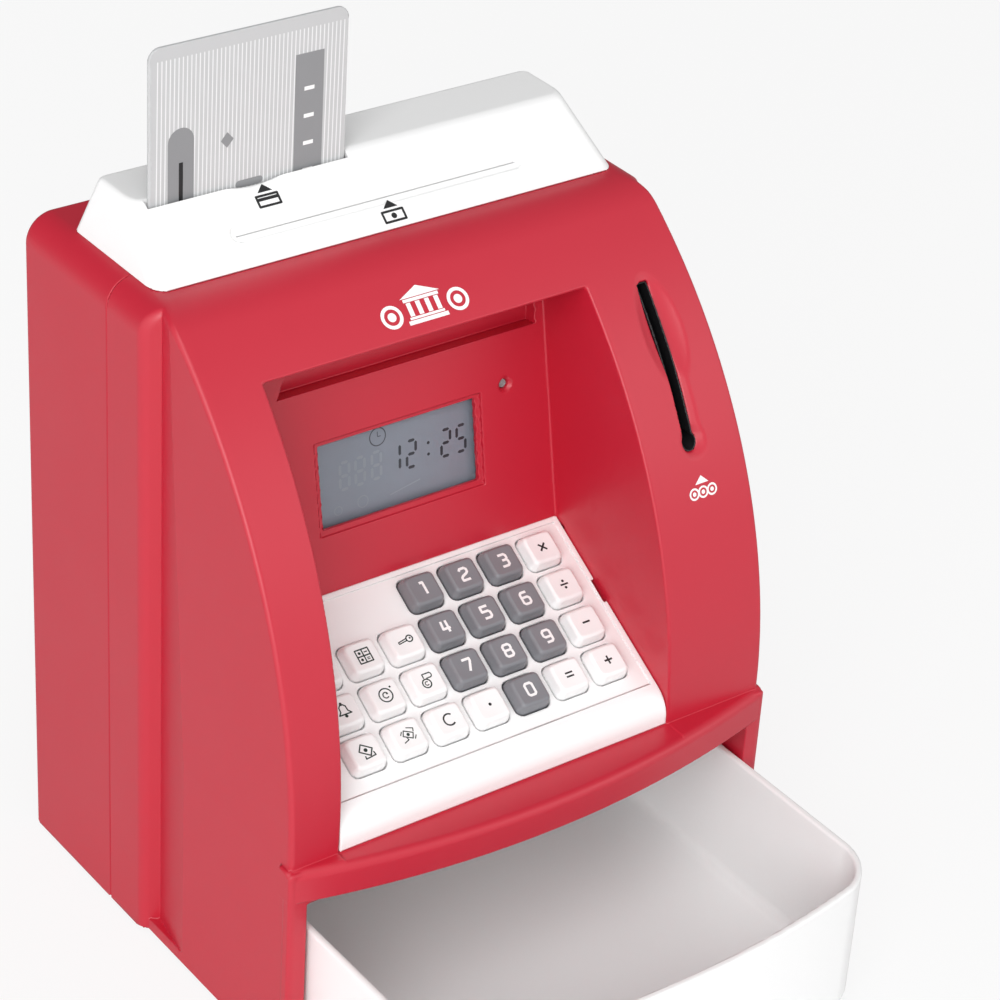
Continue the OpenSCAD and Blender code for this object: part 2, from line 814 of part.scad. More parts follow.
module latch_solenoid() {
    color("goldenrod") {
        translate([latch_x, 71, 61.6]) cylinder(h = 16, r = 6.2);
        translate([latch_x, 71, 77.6]) cylinder(h = 3, r = 2);
    }
}

// ---------- power and sound ----------

cell_z = [73.2, 88.2, 103.2];
cell_y = 79.8;
contact_x = 28;
door_screw_z = 114.6;

module battery_box() {
    color(grey) difference() {
        union() {
            difference() {
                block([-32, 70, 62], [32, back_y - wall, 122]);
                block([-28.6, 72.6, 65.4], [28.6, back_y, 118.6]);
            }
            rod_y(72.5, back_y - wall, 0, door_screw_z, 2.8);
        }
        rod_y(75, back_y, 0, door_screw_z, screw_r + 0.05);
    }
}

module battery_cells() {
    color("darkslategray") for (i = [0:2]) {
        s = i == 1 ? -1 : 1;
        rod_x(-24.6, 24.6, cell_y, cell_z[i], 7.1);
        rod_x(s > 0 ? 24.6 : -25.6, s > 0 ? 25.6 : -24.6, cell_y, cell_z[i], 2.7);
    }
}

// A leaf and stud at each cell's plus end, a leaf and three rings of wire at its minus end
module battery_contacts() {
    leaf_t = 0.5;
    color(metal) for (i = [0:2]) {
        s = i == 1 ? -1 : 1;
        for (x = [contact_x, -contact_x - leaf_t])
            block([x, cell_y - 5, cell_z[i] - 5], [x + leaf_t, cell_y + 5, cell_z[i] + 5]);
        rod_x(s > 0 ? 25.7 : -contact_x - eps, s > 0 ? contact_x + eps : -25.7,
              cell_y, cell_z[i], 1.6);
        for (j = [0:2]) translate([-s * (25.2 + 1.3 * j), cell_y, cell_z[i]])
            rotate([0, 90, 0]) rotate_extrude() translate([2.4 + 0.6 * j, 0]) circle(0.4);
    }
}

// The door closes on the rim of the battery box; its screw stays in it
module battery_door() {
    color(red) difference() {
        block([-29.7, back_y - wall, 64.3], [29.7, back_y, 119.7]);
        rod_y(back_y - 1.4, back_y + 1, 0, door_screw_z, 2.8);
        rod_y(back_y - 4, back_y + 1, 0, door_screw_z, screw_r);
    }
    color(metal) {
        rod_y(back_y - 1.4, back_y - 0.2, 0, door_screw_z, 2.6);
        rod_y(back_y - 9, back_y - 1.4 + eps, 0, door_screw_z, screw_r);
    }
}

module speaker() {
    color("black") {
        rod_y(84.2, back_y - wall - 0.1, 0, 150, 20);
        rod_y(77, 84.2 + eps, 0, 150, 10);
    }
}

front_housing();
rear_housing();
base_plate();
rubber_feet();
housing_screws();
top_cover();
keypad_panel();
lcd_window();
lcd_module();
main_board();
keypad_board();
key_membrane();
indicator_led();
speaker();
coin_chute();
coin_lever();
bill_guide();
drive_shaft();
drive_tyres();
roller_gear();
pinch_roller();
feed_motor();
motor_pinion();
drawer_tray();
drawer_spring();
drawer_latch();
latch_bracket();
latch_solenoid();
battery_box();
battery_cells();
battery_contacts();
battery_door();
card_pocket();
bank_card();
for (k = [0:24]) key(k);
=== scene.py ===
"""Looks of the toy cash machine savings bank: moulded shells, keys, printed signs, lights, camera.

Lengths in the fields are millimetres in the part's frame; meshes are built in metres.
"""
import json
import math
from concurrent.futures import ThreadPoolExecutor

import bpy
import numpy as np
from mathutils import Matrix, Vector


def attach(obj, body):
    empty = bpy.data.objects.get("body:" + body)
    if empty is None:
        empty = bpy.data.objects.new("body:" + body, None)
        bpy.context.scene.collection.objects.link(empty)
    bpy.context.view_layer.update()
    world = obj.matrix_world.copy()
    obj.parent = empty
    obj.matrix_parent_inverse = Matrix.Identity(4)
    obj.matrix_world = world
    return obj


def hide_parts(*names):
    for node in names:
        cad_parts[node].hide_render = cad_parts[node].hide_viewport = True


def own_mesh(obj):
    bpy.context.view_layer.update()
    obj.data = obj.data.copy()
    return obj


MM = 0.001
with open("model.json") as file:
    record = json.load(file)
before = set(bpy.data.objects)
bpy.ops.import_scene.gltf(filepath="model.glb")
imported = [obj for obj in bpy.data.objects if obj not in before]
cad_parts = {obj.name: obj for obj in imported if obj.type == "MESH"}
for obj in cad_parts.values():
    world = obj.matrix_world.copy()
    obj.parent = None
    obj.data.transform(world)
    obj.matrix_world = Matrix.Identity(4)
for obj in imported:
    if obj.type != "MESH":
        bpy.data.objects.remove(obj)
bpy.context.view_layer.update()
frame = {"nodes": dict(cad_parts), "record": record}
nodes = frame["nodes"]

# ---------- camera ----------


def aim(heading, down, roll):
    """Rotation of a camera from its heading and its tilts in degrees."""
    h, d, r = (math.radians(a) for a in (heading, down, roll))
    ahead = Vector((math.cos(d) * math.sin(h), math.cos(d) * math.cos(h), -math.sin(d)))
    flat = Vector((math.cos(h), -math.sin(h), 0))
    up = flat.cross(ahead)
    right = flat * math.cos(r) + up * math.sin(r)
    up = up * math.cos(r) - flat * math.sin(r)
    return Matrix((right, up, -ahead)).transposed()


lens = bpy.data.cameras.new("camera")
lens.lens, lens.sensor_width = 117.2, 36
lens.clip_start, lens.clip_end = 0.05, 20
camera = bpy.data.objects.new("camera", lens)
camera.matrix_world = (Matrix.Translation((-0.4044, -0.5200, 0.5306))
                       @ aim(38.22, 31.58, 3.82).to_4x4())
bpy.context.scene.collection.objects.link(camera)
bpy.context.scene.camera = camera
bpy.context.scene.view_settings.view_transform = "Standard"

# ---------- distance fields: negative inside ----------


def join(a, b, r=0.0):
    """Union with a hollow fillet of radius r."""
    if np.isscalar(r) and r <= 0:
        return np.minimum(a, b)
    return np.maximum(r, np.minimum(a, b)) - np.hypot(np.maximum(r - a, 0), np.maximum(r - b, 0))


def meet(a, b, r=0.0):
    """Intersection with an edge rounded to radius r."""
    if np.isscalar(r) and r <= 0:
        return np.maximum(a, b)
    return np.minimum(-r, np.maximum(a, b)) + np.hypot(np.maximum(r + a, 0), np.maximum(r + b, 0))


def cut(a, b, r=0.0):
    """The first field without the second."""
    return meet(a, -b, r)


def box(x, y, z, lo, hi, r=0.0):
    """A box between two corners with round edges."""
    q = [np.abs(v - (a + b) / 2) - (b - a) / 2 + r for v, a, b in zip((x, y, z), lo, hi)]
    out = np.sqrt(sum(np.maximum(v, 0) ** 2 for v in q))
    return out + np.minimum(np.maximum(np.maximum(q[0], q[1]), q[2]), 0) - r


def rect(u, v, w, h, r=0.0):
    """A centred rectangle w by h with round corners."""
    p, q = np.abs(u) - w / 2 + r, np.abs(v) - h / 2 + r
    return np.hypot(np.maximum(p, 0), np.maximum(q, 0)) + np.minimum(np.maximum(p, q), 0) - r


def disc(u, v, cu, cv, r):
    """A circle about a centre."""
    return np.hypot(u - cu, v - cv) - r


# ---------- mesher ----------

BLOCK = 8       # cells along the side of a block that is skipped or filled as one
BATCH = 90      # blocks filled in one go
CHUNK = 65536   # points sampled in one go
NUDGE = 0.02    # step of the gradient, mm
POOL = ThreadPoolExecutor(4)


def sample(field, p):
    """Values of the field at the points (3, n)."""
    out = np.empty(p.shape[1])

    def run(i):
        q = p[:, i:i + CHUNK]
        out[i:i + CHUNK] = field(q[0], q[1], q[2])

    list(POOL.map(run, range(0, p.shape[1], CHUNK)))
    return out


def slope(field, p):
    """Gradient of the field at the points."""
    g = np.empty_like(p)
    for k in range(3):
        d = np.zeros((3, 1))
        d[k] = NUDGE
        g[k] = (sample(field, p + d) - sample(field, p - d)) / (2 * NUDGE)
    return g


def settle(field, p, rounds, reach):
    """Moves points onto the field's surface, by at most reach in each round."""
    for _ in range(rounds):
        g = slope(field, p)
        step = sample(field, p) / np.maximum((g * g).sum(0), 0.2)
        p = p - g * np.clip(step, -reach, reach)
    return p


def surface_nets(field, lo, hi, cell):
    """Vertices (3, n) and quads (m, 4) of the field's surface on a grid of cells."""
    lo = np.asarray(lo, float) - 1.7 * cell
    size = cell * BLOCK
    n = np.ceil((np.asarray(hi, float) + 1.3 * cell - lo) / size).astype(int)
    at = np.indices(n).reshape(3, -1)
    centre = sample(field, lo[:, None] + (at + 0.5) * size)
    F = np.ones(n * BLOCK + 1, np.float32)
    signs = np.where(centre < 0, -1, 1).reshape(n).astype(np.float32)
    for axis in range(3):
        signs = np.repeat(signs, BLOCK, axis)
    F[:-1, :-1, :-1] = signs
    live = at[:, np.abs(centre) < 0.95 * size] * BLOCK
    local = np.indices((BLOCK + 1,) * 3).reshape(3, -1)

    def fill(i):
        idx = (live[:, i:i + BATCH, None] + local[:, None, :]).reshape(3, -1)
        q = lo[:, None] + idx * cell
        F[idx[0], idx[1], idx[2]] = field(q[0], q[1], q[2])

    list(POOL.map(fill, range(0, live.shape[1], BATCH)))
    inside = F < 0
    count = np.zeros(n * BLOCK, np.int8)
    corners = [(a, b, c) for a in (0, 1) for b in (0, 1) for c in (0, 1)]
    for a, b, c in corners:
        s = inside.shape
        count += inside[a:s[0] - 1 + a, b:s[1] - 1 + b, c:s[2] - 1 + c]
    cells = np.array(np.nonzero((count > 0) & (count < 8)))
    value = np.array([F[cells[0] + a, cells[1] + b, cells[2] + c] for a, b, c in corners])
    total, hits = np.zeros((3, cells.shape[1])), np.zeros(cells.shape[1])
    for i, p in enumerate(corners):
        for j, q in enumerate(corners):
            if sum(q) - sum(p) == 1 and sum(abs(u - v) for u, v in zip(p, q)) == 1:
                crossing = (value[i] < 0) != (value[j] < 0)
                t = np.where(crossing, value[i] / np.where(crossing, value[i] - value[j], 1), 0)
                for k in range(3):
                    total[k] += crossing * (p[k] + t * (q[k] - p[k]))
                hits += crossing
    points = lo[:, None] + (cells + total / hits) * cell
    number = np.full(n * BLOCK, -1, np.int32)
    number[cells[0], cells[1], cells[2]] = np.arange(cells.shape[1])
    quads = []
    for a in range(3):
        b, c = (a + 1) % 3, (a + 2) % 3
        at = np.array(np.nonzero(np.diff(inside, axis=a)))
        at = at[:, (at[b] > 0) & (at[c] > 0) & (at[b] < n[b] * BLOCK) & (at[c] < n[c] * BLOCK)]
        eb, ec = np.zeros((3, 1), int), np.zeros((3, 1), int)
        eb[b], ec[c] = 1, 1
        quad = np.array([number[tuple(s)] for s in (at, at - eb, at - eb - ec, at - ec)]).T
        outward = inside[tuple(at)]
        quads.append(np.where(outward[:, None], quad, quad[:, ::-1]))
    return points, np.concatenate(quads)


def mesh_from(name, points, faces):
    """A mesh of triangles or quads, points (3, n) in millimetres."""
    data = bpy.data.meshes.new(name)
    k = faces.shape[1]
    data.vertices.add(points.shape[1])
    data.vertices.foreach_set("co", (points.T * MM).astype(np.float32).ravel())
    data.loops.add(faces.size)
    data.loops.foreach_set("vertex_index", faces.astype(np.int32).ravel())
    data.polygons.add(len(faces))
    data.polygons.foreach_set("loop_start", np.arange(0, faces.size, k, dtype=np.int32))
    data.polygons.foreach_set("use_smooth", np.ones(len(faces), bool))
    data.update(calc_edges=True)
    return data


def link(name, data):
    """An object of the data, in the scene."""
    obj = bpy.data.objects.new(name, data)
    bpy.context.scene.collection.objects.link(obj)
    return obj


def thin_out(data, ratio):
    """The mesh with that share of its triangles left."""
    obj = link("thinning", data)
    mod = obj.modifiers.new("collapse", "DECIMATE")
    mod.ratio = ratio
    graph = bpy.context.evaluated_depsgraph_get()
    thin = bpy.data.meshes.new_from_object(obj.evaluated_get(graph))
    bpy.data.objects.remove(obj)
    bpy.data.meshes.remove(data)
    return thin


def moulded(name, field, lo, hi, cell, most=150000):
    """A mesh of the field with at most that many triangles and the field's own normals."""
    points, quads = surface_nets(field, lo, hi, cell)
    points = settle(field, points, 1, cell)
    data = mesh_from(name, points, quads)
    if 2 * len(quads) > most:
        data = thin_out(data, most / (2 * len(quads)))
    co = np.empty(len(data.vertices) * 3, np.float32)
    data.vertices.foreach_get("co", co)
    points = settle(field, co.reshape(-1, 3).T.astype(float) / MM, 2, cell / 2)
    data.vertices.foreach_set("co", (points.T * MM).astype(np.float32).ravel())
    data.polygons.foreach_set("use_smooth", np.ones(len(data.polygons), bool))
    g = slope(field, points)
    g /= np.maximum(np.linalg.norm(g, axis=0), 1e-6)
    data.normals_split_custom_set_from_vertices(g.T.astype(np.float32))
    data.update()
    data.name = name
    return data


# ---------- materials ----------


def srgb(*c):
    """Linear colour from 0-255 values."""
    return tuple((v / 255 / 12.92) if v / 255 < 0.04045 else ((v / 255 + 0.055) / 1.055) ** 2.4
                 for v in c) + (1,)


def finish_of(name, colour, rough=0.4, metal=0.0, grain=0.0, grain_size=900, mottle=0.0,
              **sockets):
    """A Principled finish, with a fine moulded grain and a faint unevenness of gloss."""
    m = bpy.data.materials.new(name)
    m.use_nodes = True
    tree = m.node_tree
    shader = tree.nodes["Principled BSDF"]
    shader.inputs["Base Color"].default_value = colour
    shader.inputs["Roughness"].default_value = rough
    shader.inputs["Metallic"].default_value = metal
    for key, value in sockets.items():
        shader.inputs[key.replace("_", " ")].default_value = value
    where = tree.nodes.new("ShaderNodeTexCoord")
    if grain:
        noise = tree.nodes.new("ShaderNodeTexNoise")
        noise.inputs["Scale"].default_value = grain_size
        noise.inputs["Detail"].default_value = 2
        bump = tree.nodes.new("ShaderNodeBump")
        bump.inputs["Strength"].default_value = grain
        bump.inputs["Distance"].default_value = 0.0001
        tree.links.new(where.outputs["Object"], noise.inputs["Vector"])
        tree.links.new(noise.outputs["Fac"], bump.inputs["Height"])
        tree.links.new(bump.outputs["Normal"], shader.inputs["Normal"])
    if mottle:
        cloud = tree.nodes.new("ShaderNodeTexNoise")
        cloud.inputs["Scale"].default_value = 26
        cloud.inputs["Detail"].default_value = 3
        spread = tree.nodes.new("ShaderNodeMapRange")
        spread.inputs["To Min"].default_value = rough - mottle
        spread.inputs["To Max"].default_value = rough + mottle
        tree.links.new(where.outputs["Object"], cloud.inputs["Vector"])
        tree.links.new(cloud.outputs["Fac"], spread.inputs["Value"])
        tree.links.new(spread.outputs["Result"], shader.inputs["Roughness"])
    return m


RED = finish_of("red_plastic", srgb(192, 24, 49), 0.42, grain=0.05, mottle=0.05,
                Specular_IOR_Level=0.72)
WHITE = finish_of("white_plastic", srgb(246, 246, 246), 0.38, grain=0.05, mottle=0.05)
GREY_KEY = finish_of("grey_key", srgb(128, 129, 134), 0.42, grain=0.06)
INNER = finish_of("inner_plastic", srgb(70, 72, 76), 0.5, grain=0.06)
BLACK = finish_of("black_plastic", srgb(22, 22, 24), 0.4, grain=0.05)
GEAR = finish_of("gear_plastic", srgb(232, 226, 205), 0.4, grain=0.03)
RUBBER = finish_of("foot_rubber", srgb(26, 26, 27), 0.75, grain=0.15)
SILICONE = finish_of("silicone", srgb(200, 205, 208), 0.6, grain=0.05)
STEEL = finish_of("steel", srgb(190, 192, 196), 0.28, 1.0, grain=0.03)
BRASS = finish_of("brass", srgb(212, 174, 92), 0.3, 1.0)
COPPER = finish_of("copper_winding", srgb(180, 98, 52), 0.35, 0.9, grain=0.2, grain_size=2500)
CELL = finish_of("cell_sleeve", srgb(38, 66, 74), 0.3)
BOARD = finish_of("circuit_board", srgb(18, 74, 44), 0.35, grain=0.06)
CARD = finish_of("card_plastic", srgb(194, 195, 196), 0.3)
CLEAR = finish_of("clear_window", (1, 1, 1, 1), 0.04, Transmission_Weight=1.0, IOR=1.02,
                  Alpha=0.25)
CLEAR_LED = finish_of("clear_led", srgb(235, 240, 240), 0.1, Transmission_Weight=0.7)
GLASS = finish_of("display_glass", srgb(126, 134, 145), 0.22)
INK = finish_of("dark_ink", srgb(22, 42, 36), 0.5)
BLACK_INK = finish_of("black_ink", srgb(24, 25, 27), 0.5)
WHITE_INK = finish_of("white_ink", srgb(245, 244, 244), 0.45)
GREY_INK = finish_of("grey_ink", srgb(140, 141, 143), 0.45)
PALE_INK = finish_of("pale_ink", srgb(232, 233, 234), 0.45)
SEGMENT = finish_of("display_segment", srgb(48, 52, 60), 0.3)
GHOST = finish_of("display_ghost", srgb(126, 136, 145), 0.3)


def piece(name, data, material, body, slot, *replaced):
    """A visible piece that rides on a body and may stand for CAD nodes."""
    obj = link(name, data)
    obj.data.materials.clear()
    obj.data.materials.append(material)
    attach(obj, body)
    if replaced:
        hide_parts(*replaced)
    return obj


# ---------- outline of the housing ----------

BROW, FASCIA = (37.7, 161.6), (115.3, 64.0)     # centres of the two arcs, y and z
BROW_R, FASCIA_R = 18.0, 142.7
TOP, LEDGE, FOOT = 179.6, 61.4, 1.2             # heights
DOOR_SCREW_Z = 114.6
HALF, CHIN, BACK = 72.3, -27.4, 91              # half width, keypad's front, housing's back
FRONT_END, REAR_START = 51.85, 51.95            # the two shells at their seam
POST_X, POST_HEIGHTS = 64.8, (52, 164)          # screw posts
DISPLAY_Y, DISPLAY_Z, DISPLAY_LEAN = 21.5, 98.1, math.radians(9.9)
LCD_X, LCD_T, LCD_W, LCD_H = -5.5, 25.6, 46, 21.8


def profile(y, z):
    """Side view of the fascia and the flat top."""
    u = np.array([BROW[0] - FASCIA[0], BROW[1] - FASCIA[1]])
    u /= np.hypot(*u)
    py, pz = y - BROW[0], z - BROW[1]
    brow = np.hypot(py, pz) - BROW_R
    fascia = np.hypot(y - FASCIA[0], np.maximum(z - FASCIA[1], 0)) - FASCIA_R
    return np.where((py * u[1] - pz * u[0] > 0) & (py < 0), brow, np.maximum(fascia, z - TOP))


def side_at(z):
    """Half width of the fascia at a height."""
    return 70.8 - 0.01607 * (np.clip(z, LEDGE, TOP) - LEDGE)


def on_display(y, z):
    """Height up the display panel and distance out of it."""
    c, s = math.cos(DISPLAY_LEAN), math.sin(DISPLAY_LEAN)
    return ((y - DISPLAY_Y) * s + (z - DISPLAY_Z) * c,
            (z - DISPLAY_Z) * s - (y - DISPLAY_Y) * c)


def recess_sides(x, z):
    """Leaning left and right walls of the recess."""
    left = -57 + 0.0362 * (z - LEDGE) - x
    right = x - 40.8 + 0.0191 * (z - LEDGE)
    return np.maximum(left, right)


def recess(x, y, z):
    """Open room in front of the display and the keypad, with the slit over the display."""
    t, n = on_display(y, z)
    slant = (y - 14.3) * 0.4807 + (z - 165.6) * 0.8768
    ceiling = meet(z - 165.6, slant, 0.8)
    ends = np.maximum(x - 36.2, -37.4 - x + (z - 152) * 0.5)
    slit = np.maximum(np.maximum(ends, y - 34), 51.6 - t)
    back = np.minimum(np.minimum(-n, slit), np.maximum(y - 30, z - 95.1))
    walls = meet(recess_sides(x, z), ceiling, 0.5)
    return np.maximum(meet(walls, back, 0.5), LEDGE - z)


def coin_slot(x, z):
    """Slot with its round foot, seen from the front."""
    lean = 54.1 + 0.02 * (z - 130.4)
    return np.minimum(rect(x - lean, z - 146.7, 3.5, 32.6, 0.6), disc(x, z, 54.2, 130.2, 2.3))


def front_solid(x, y, z):
    """Outside of the front housing."""
    a = np.abs(x)
    p = profile(y, z)
    # Upright groove between the fascia and the side walls: two faces that meet in a line
    wide_face = (a - 68.2) * 0.507 - (y - 34) * 0.863
    fascia_face = (a - 68.2) * 0.985 + (y - 34) * 0.175
    closed = np.maximum(z - 4.6, a - 70.8)
    t = np.clip((y - 22) / 15.6, 0, 1)
    top_side = meet(p, a - HALF, 3 + 4.6 * t * t * (3 - 2 * t))
    side = np.maximum(a - side_at(z), fascia_face)
    solid = np.minimum(meet(top_side, side, 1.1), meet(top_side, wide_face, 1.8))
    # Jambs, and the bowed ledge over the drawer
    jamb = meet(meet(-28.6 - y, np.maximum(a - 70.8, fascia_face), 0.7), z - 60.6, 0.4)
    flange = box(a, y, z, (60, -28.6, 0), (71.7, -26.2, 60.6), 0.5)
    bow = np.hypot(x, y - 229.6) - 268
    ledge = meet(meet(meet(bow, z - LEDGE, 2.4), 52.6 - z, 0.5), a - 71.8, 0.6)
    ledge = np.maximum(ledge, y + 24)
    solid = np.minimum(solid, np.minimum(join(jamb, flange, 1.5), ledge))
    solid = np.minimum(solid, np.maximum(closed, np.maximum(-28 - y, y - 40)))
    # Shallow scoop round the coin slot, steeper on the right
    dent = p + 1.7 * (1 - ((x - 55.4) / 6.0) ** 2 - ((z - 153.6) / 10.9) ** 2)
    wide = join(rect(x - 55.2, z - 146.7, 5.0, 33.0, 1.6), disc(x, z, 55.1, 130.4, 3.5), 1.0)
    bevel = p + 0.5 * (0.3 - wide)
    solid = meet(meet(solid, dent, 0.3), bevel, 0.3)
    return np.maximum(solid, FOOT - z)


def hollow(x, y, z):
    """Room inside the front housing."""
    a = np.abs(x)
    rear = np.maximum(37.6 - y, meet(a - 69.9, z - 177.2, 5.2))
    mid = np.maximum(np.maximum(profile(y, z) + 2.4, a - 65.8), np.maximum(55.4 - z, y - 38))
    rooms = [box(a, y, z, (-1, -18, 50.2), (66.6, 38, 61.4)),
             box(a, y, z, (-1, -60, -9), (66.6, -17, 51.2), 0.4),
             box(a, y, z, (-1, -60, -9), (66.6, 38, 44)),
             box(a, y, z, (-1, -17.6, -9), (66.6, 38, 51.2)),
             box(a, y, z, (-1, 16, 26), (67.5, 38, 41)),
             box(a, y, z, (-1, -26.8, -9), (69.8, 60, 3.9))]
    space = np.minimum(rear, mid)
    for room in rooms:
        space = np.minimum(space, room)
    return space


def front_field(x, y, z):
    """Front housing with its recess, window and slots."""
    a = np.abs(x)
    shape = cut(front_solid(x, y, z), hollow(x, y, z), 0.25)
    r = recess(x, y, z)
    behind = np.maximum(18 - y, z - 95)
    liner = np.maximum(np.maximum(r - 2.2, profile(y, z) + 0.6), np.maximum(LEDGE - z, -behind))
    shape = np.minimum(shape, liner)
    for height in POST_HEIGHTS:
        shape = np.minimum(shape, np.maximum(disc(a, z, POST_X, height, 3.4), 38.6 - y))
        shape = np.maximum(shape, -np.maximum(disc(a, z, POST_X, height, 1.25), 38.6 - y))
    shape = cut(shape, r, 0.7)
    # Display window with a stepped surround, indicator hole with a dished rim
    t, n = on_display(y, z)
    window = rect(x - LCD_X, t - LCD_T, LCD_W, LCD_H, 0.3)
    shape = np.maximum(shape, -np.maximum(window, np.abs(n) - 6))
    step = np.maximum(rect(x - LCD_X, t - LCD_T, LCD_W + 2.6, LCD_H + 2.6, 0.3), -0.75 - n)
    shape = cut(shape, np.maximum(step, n - 6), 0.15)
    rim = np.hypot(x - 26.4, t - 37.9)
    shape = np.maximum(shape, -np.maximum(rim - np.maximum(1.25, 2.1 + n), np.abs(n) - 8))
    slot = np.maximum(coin_slot(x, z), y - 20)
    shape = cut(shape, slot, 0.3)
    shape = np.maximum(shape, -box(x, y, z, (-60, 43, 170), (60, 60, 190), 0.5))
    # Ragged sprue hole at the right end of the slit over the display
    gap = np.sqrt(((x - 30.5) / 4) ** 2 + ((y - 30) / 3) ** 2 + ((z - 157.5) / 2.2) ** 2) - 1
    shape = np.maximum(shape, -gap * 2)
    return meet(shape, y - FRONT_END, 0.15)


front = moulded("front_housing_shell", front_field, (-72.5, -38.6, 1), (72.5, 52, 179.8),
                0.55, 170000)
piece("front_housing_shell", front, RED, "housing", "red_plastic", "front_housing")


def slot_shade_field(x, y, z):
    """Black sheet on the coin slot's walls: painted shade for the dark inside of the slot."""
    hole, p = coin_slot(x, z), profile(y, z)
    return np.maximum(np.maximum(hole + 0.03, -0.45 - hole), np.maximum(p + 0.9, -6 - p))


# Painted shade: a black sheet over the slot's red walls stands for the shade deep in the slot.
slot_shade = moulded("coin_slot_painted_shade", slot_shade_field, (50, -16, 126), (60, 20, 165), 0.3, 30000)
piece("coin_slot_painted_shade", slot_shade, BLACK, "housing", "inner_plastic")


def rear_field(x, y, z):
    """Rear housing with its screw posts, battery door's seat and speaker holes."""
    a = np.abs(x)
    shape = meet(meet(meet(a - HALF, z - TOP, 7.6), y - BACK, 2.4), REAR_START - y, 0.15)
    shape = np.maximum(shape, FOOT - z)
    inner = np.maximum(meet(a - 69.9, z - 177.2, 5.2), y - 88.6)
    shape = cut(shape, inner, 0.2)
    for height in POST_HEIGHTS:
        off = disc(a, z, POST_X, height, 0)
        column = np.maximum(np.maximum(off - 3.4, y - 88.7), REAR_START - y)
        shape = np.minimum(shape, column)
        shape = np.maximum(shape, 1.6 - off)
        shape = cut(shape, np.maximum(off - 3, 86 - y), 0.3)
    post = np.maximum(np.maximum(disc(a, y, 66.6, 86.8, 2.6), z - 17.8), 3.8 - z)
    shape = np.minimum(shape, post)
    shape = cut(shape, box(x, y, z, (-30, 84, 64), (30, 95, 120), 0.4), 0.3)
    for i in range(-2, 3):
        for j in range(-2, 3):
            if abs(i + j) < 3:
                hole = np.maximum(disc(x, z, 6.4 * (i + j / 2), 150 + 5.6 * j, 1.4), 84 - y)
                shape = cut(shape, hole, 0.25)
    return np.maximum(shape, -box(x, y, z, (-60, 40, 170), (60, 74, 190), 0.5))


rear = moulded("rear_housing_shell", rear_field, (-72.5, 51.8, 1), (72.5, 91.2, 179.8),
               0.7, 120000)
piece("rear_housing_shell", rear, RED, "housing", "red_plastic", "rear_housing")


def door_field(x, y, z):
    """Battery door with its captive screw."""
    plate = box(x, y, z, (-29.7, 88.7, 64.3), (29.7, 90.9, 119.7), 0.5)
    # Grip ribs, and a dished seat for the captive screw
    for k in range(5):
        rib = box(x, y, z, (-9, 90.5, 69 + 2.2 * k), (9, 91, 70 + 2.2 * k), 0.4)
        plate = join(plate, rib, 0.3)
    off = disc(x, z, 0, DOOR_SCREW_Z, 0)
    plate = cut(plate, np.maximum(off - 2.8, 89.6 - y), 0.25)
    head = np.maximum(off - 2.6, np.abs(y - 90.1) - 0.55)
    cross = np.minimum(rect(x, z - DOOR_SCREW_Z, 3.4, 0.7), rect(x, z - DOOR_SCREW_Z, 0.7, 3.4))
    head = np.maximum(head, -np.maximum(cross, 90.2 - y))
    shank = np.maximum(off - 1.25, np.abs(y - 85.8) - 3.8)
    return np.minimum(plate, np.minimum(head, shank))


door = moulded("battery_door_plate", door_field, (-30, 81.8, 64), (30, 91.2, 120), 0.4, 50000)
piece("battery_door_plate", door, RED, "battery_door", "red_plastic", "battery_door")


COVER_Y, SLOPE_COS, SLOPE_SIN = 39.6, 0.768, 0.640   # foot and lean of the cover's front


def cover_planes(x, y, z, t):
    """Faces of the top cover drawn in by t."""
    a = np.abs(x)
    front_face = (y - COVER_Y) * -SLOPE_SIN + (z - TOP) * SLOPE_COS + t
    side = (a - 66.1) * 0.9627 + (z - TOP) * 0.2704 + t
    back = (y - 77.8) * 0.9645 + (z - TOP) * 0.2642 + t
    lid = z - 194.2 + t
    return meet(meet(meet(front_face, side, 3.2), back, 2.2), lid, 1.0)


def cover_field(x, y, z):
    """Top cover with its card slot, thumb scoop and bill slot."""
    shape = cover_planes(x, y, z, 0)
    inner = np.maximum(cover_planes(x, y, z, 2), z - 192.2)
    shape = np.maximum(shape, 179.62 - z)
    shape = cut(shape, inner, 0.3)
    # Thumb scoop in the lip in front of the card
    scoop = np.hypot((x + 30.3) / 8.5, (z - 194.6) / 2.6) - 1
    shape = cut(shape, np.maximum(scoop * 2.4, np.abs(y - 53) - 4.2), 0.5)
    shape = cut(shape, box(x, y, z, (-58.9, 55.75, 170), (-3.7, 57.75, 210), 0.1), 0.35)
    # Bill slot: a shallow groove whose flap closes to a hairline
    up = (y - COVER_Y) * SLOPE_COS + (z - TOP) * SLOPE_SIN - 9.3
    out = (y - COVER_Y) * -SLOPE_SIN + (z - TOP) * SLOPE_COS
    groove = np.hypot(np.maximum(np.abs(x + 0.5) - 39.4, 0), up) - 2.0
    shape = cut(shape, np.maximum(groove, -0.3 - out), 0.5)
    line = np.maximum(np.abs(up + 0.4) - 0.1, np.abs(x + 0.5) - 40)
    return np.maximum(shape, -line)


cover = moulded("top_cover_shell", cover_field, (-66.4, 39.4, 179.4), (66.4, 78, 194.4),
                0.45, 110000)
piece("top_cover_shell", cover, WHITE, "housing", "white_plastic", "top_cover")

# ---------- keypad ----------

PAD_Y, PAD_Z, PAD_LEAN, NOSE_R = 1.4, 85.3, math.radians(30.7), 8
KEY_RISE = 2.6
KEY_LEFT, KEY_TOP, COLUMN_PITCH, ROW_PITCH = -42.4, 15.06, 12.05, 11.22
KEYS = ("1 2 3 multiply card calculator code 4 5 6 divide alarm coin coin_out 7 8 9 minus "
        "note note_out clear point 0 equals plus").split()


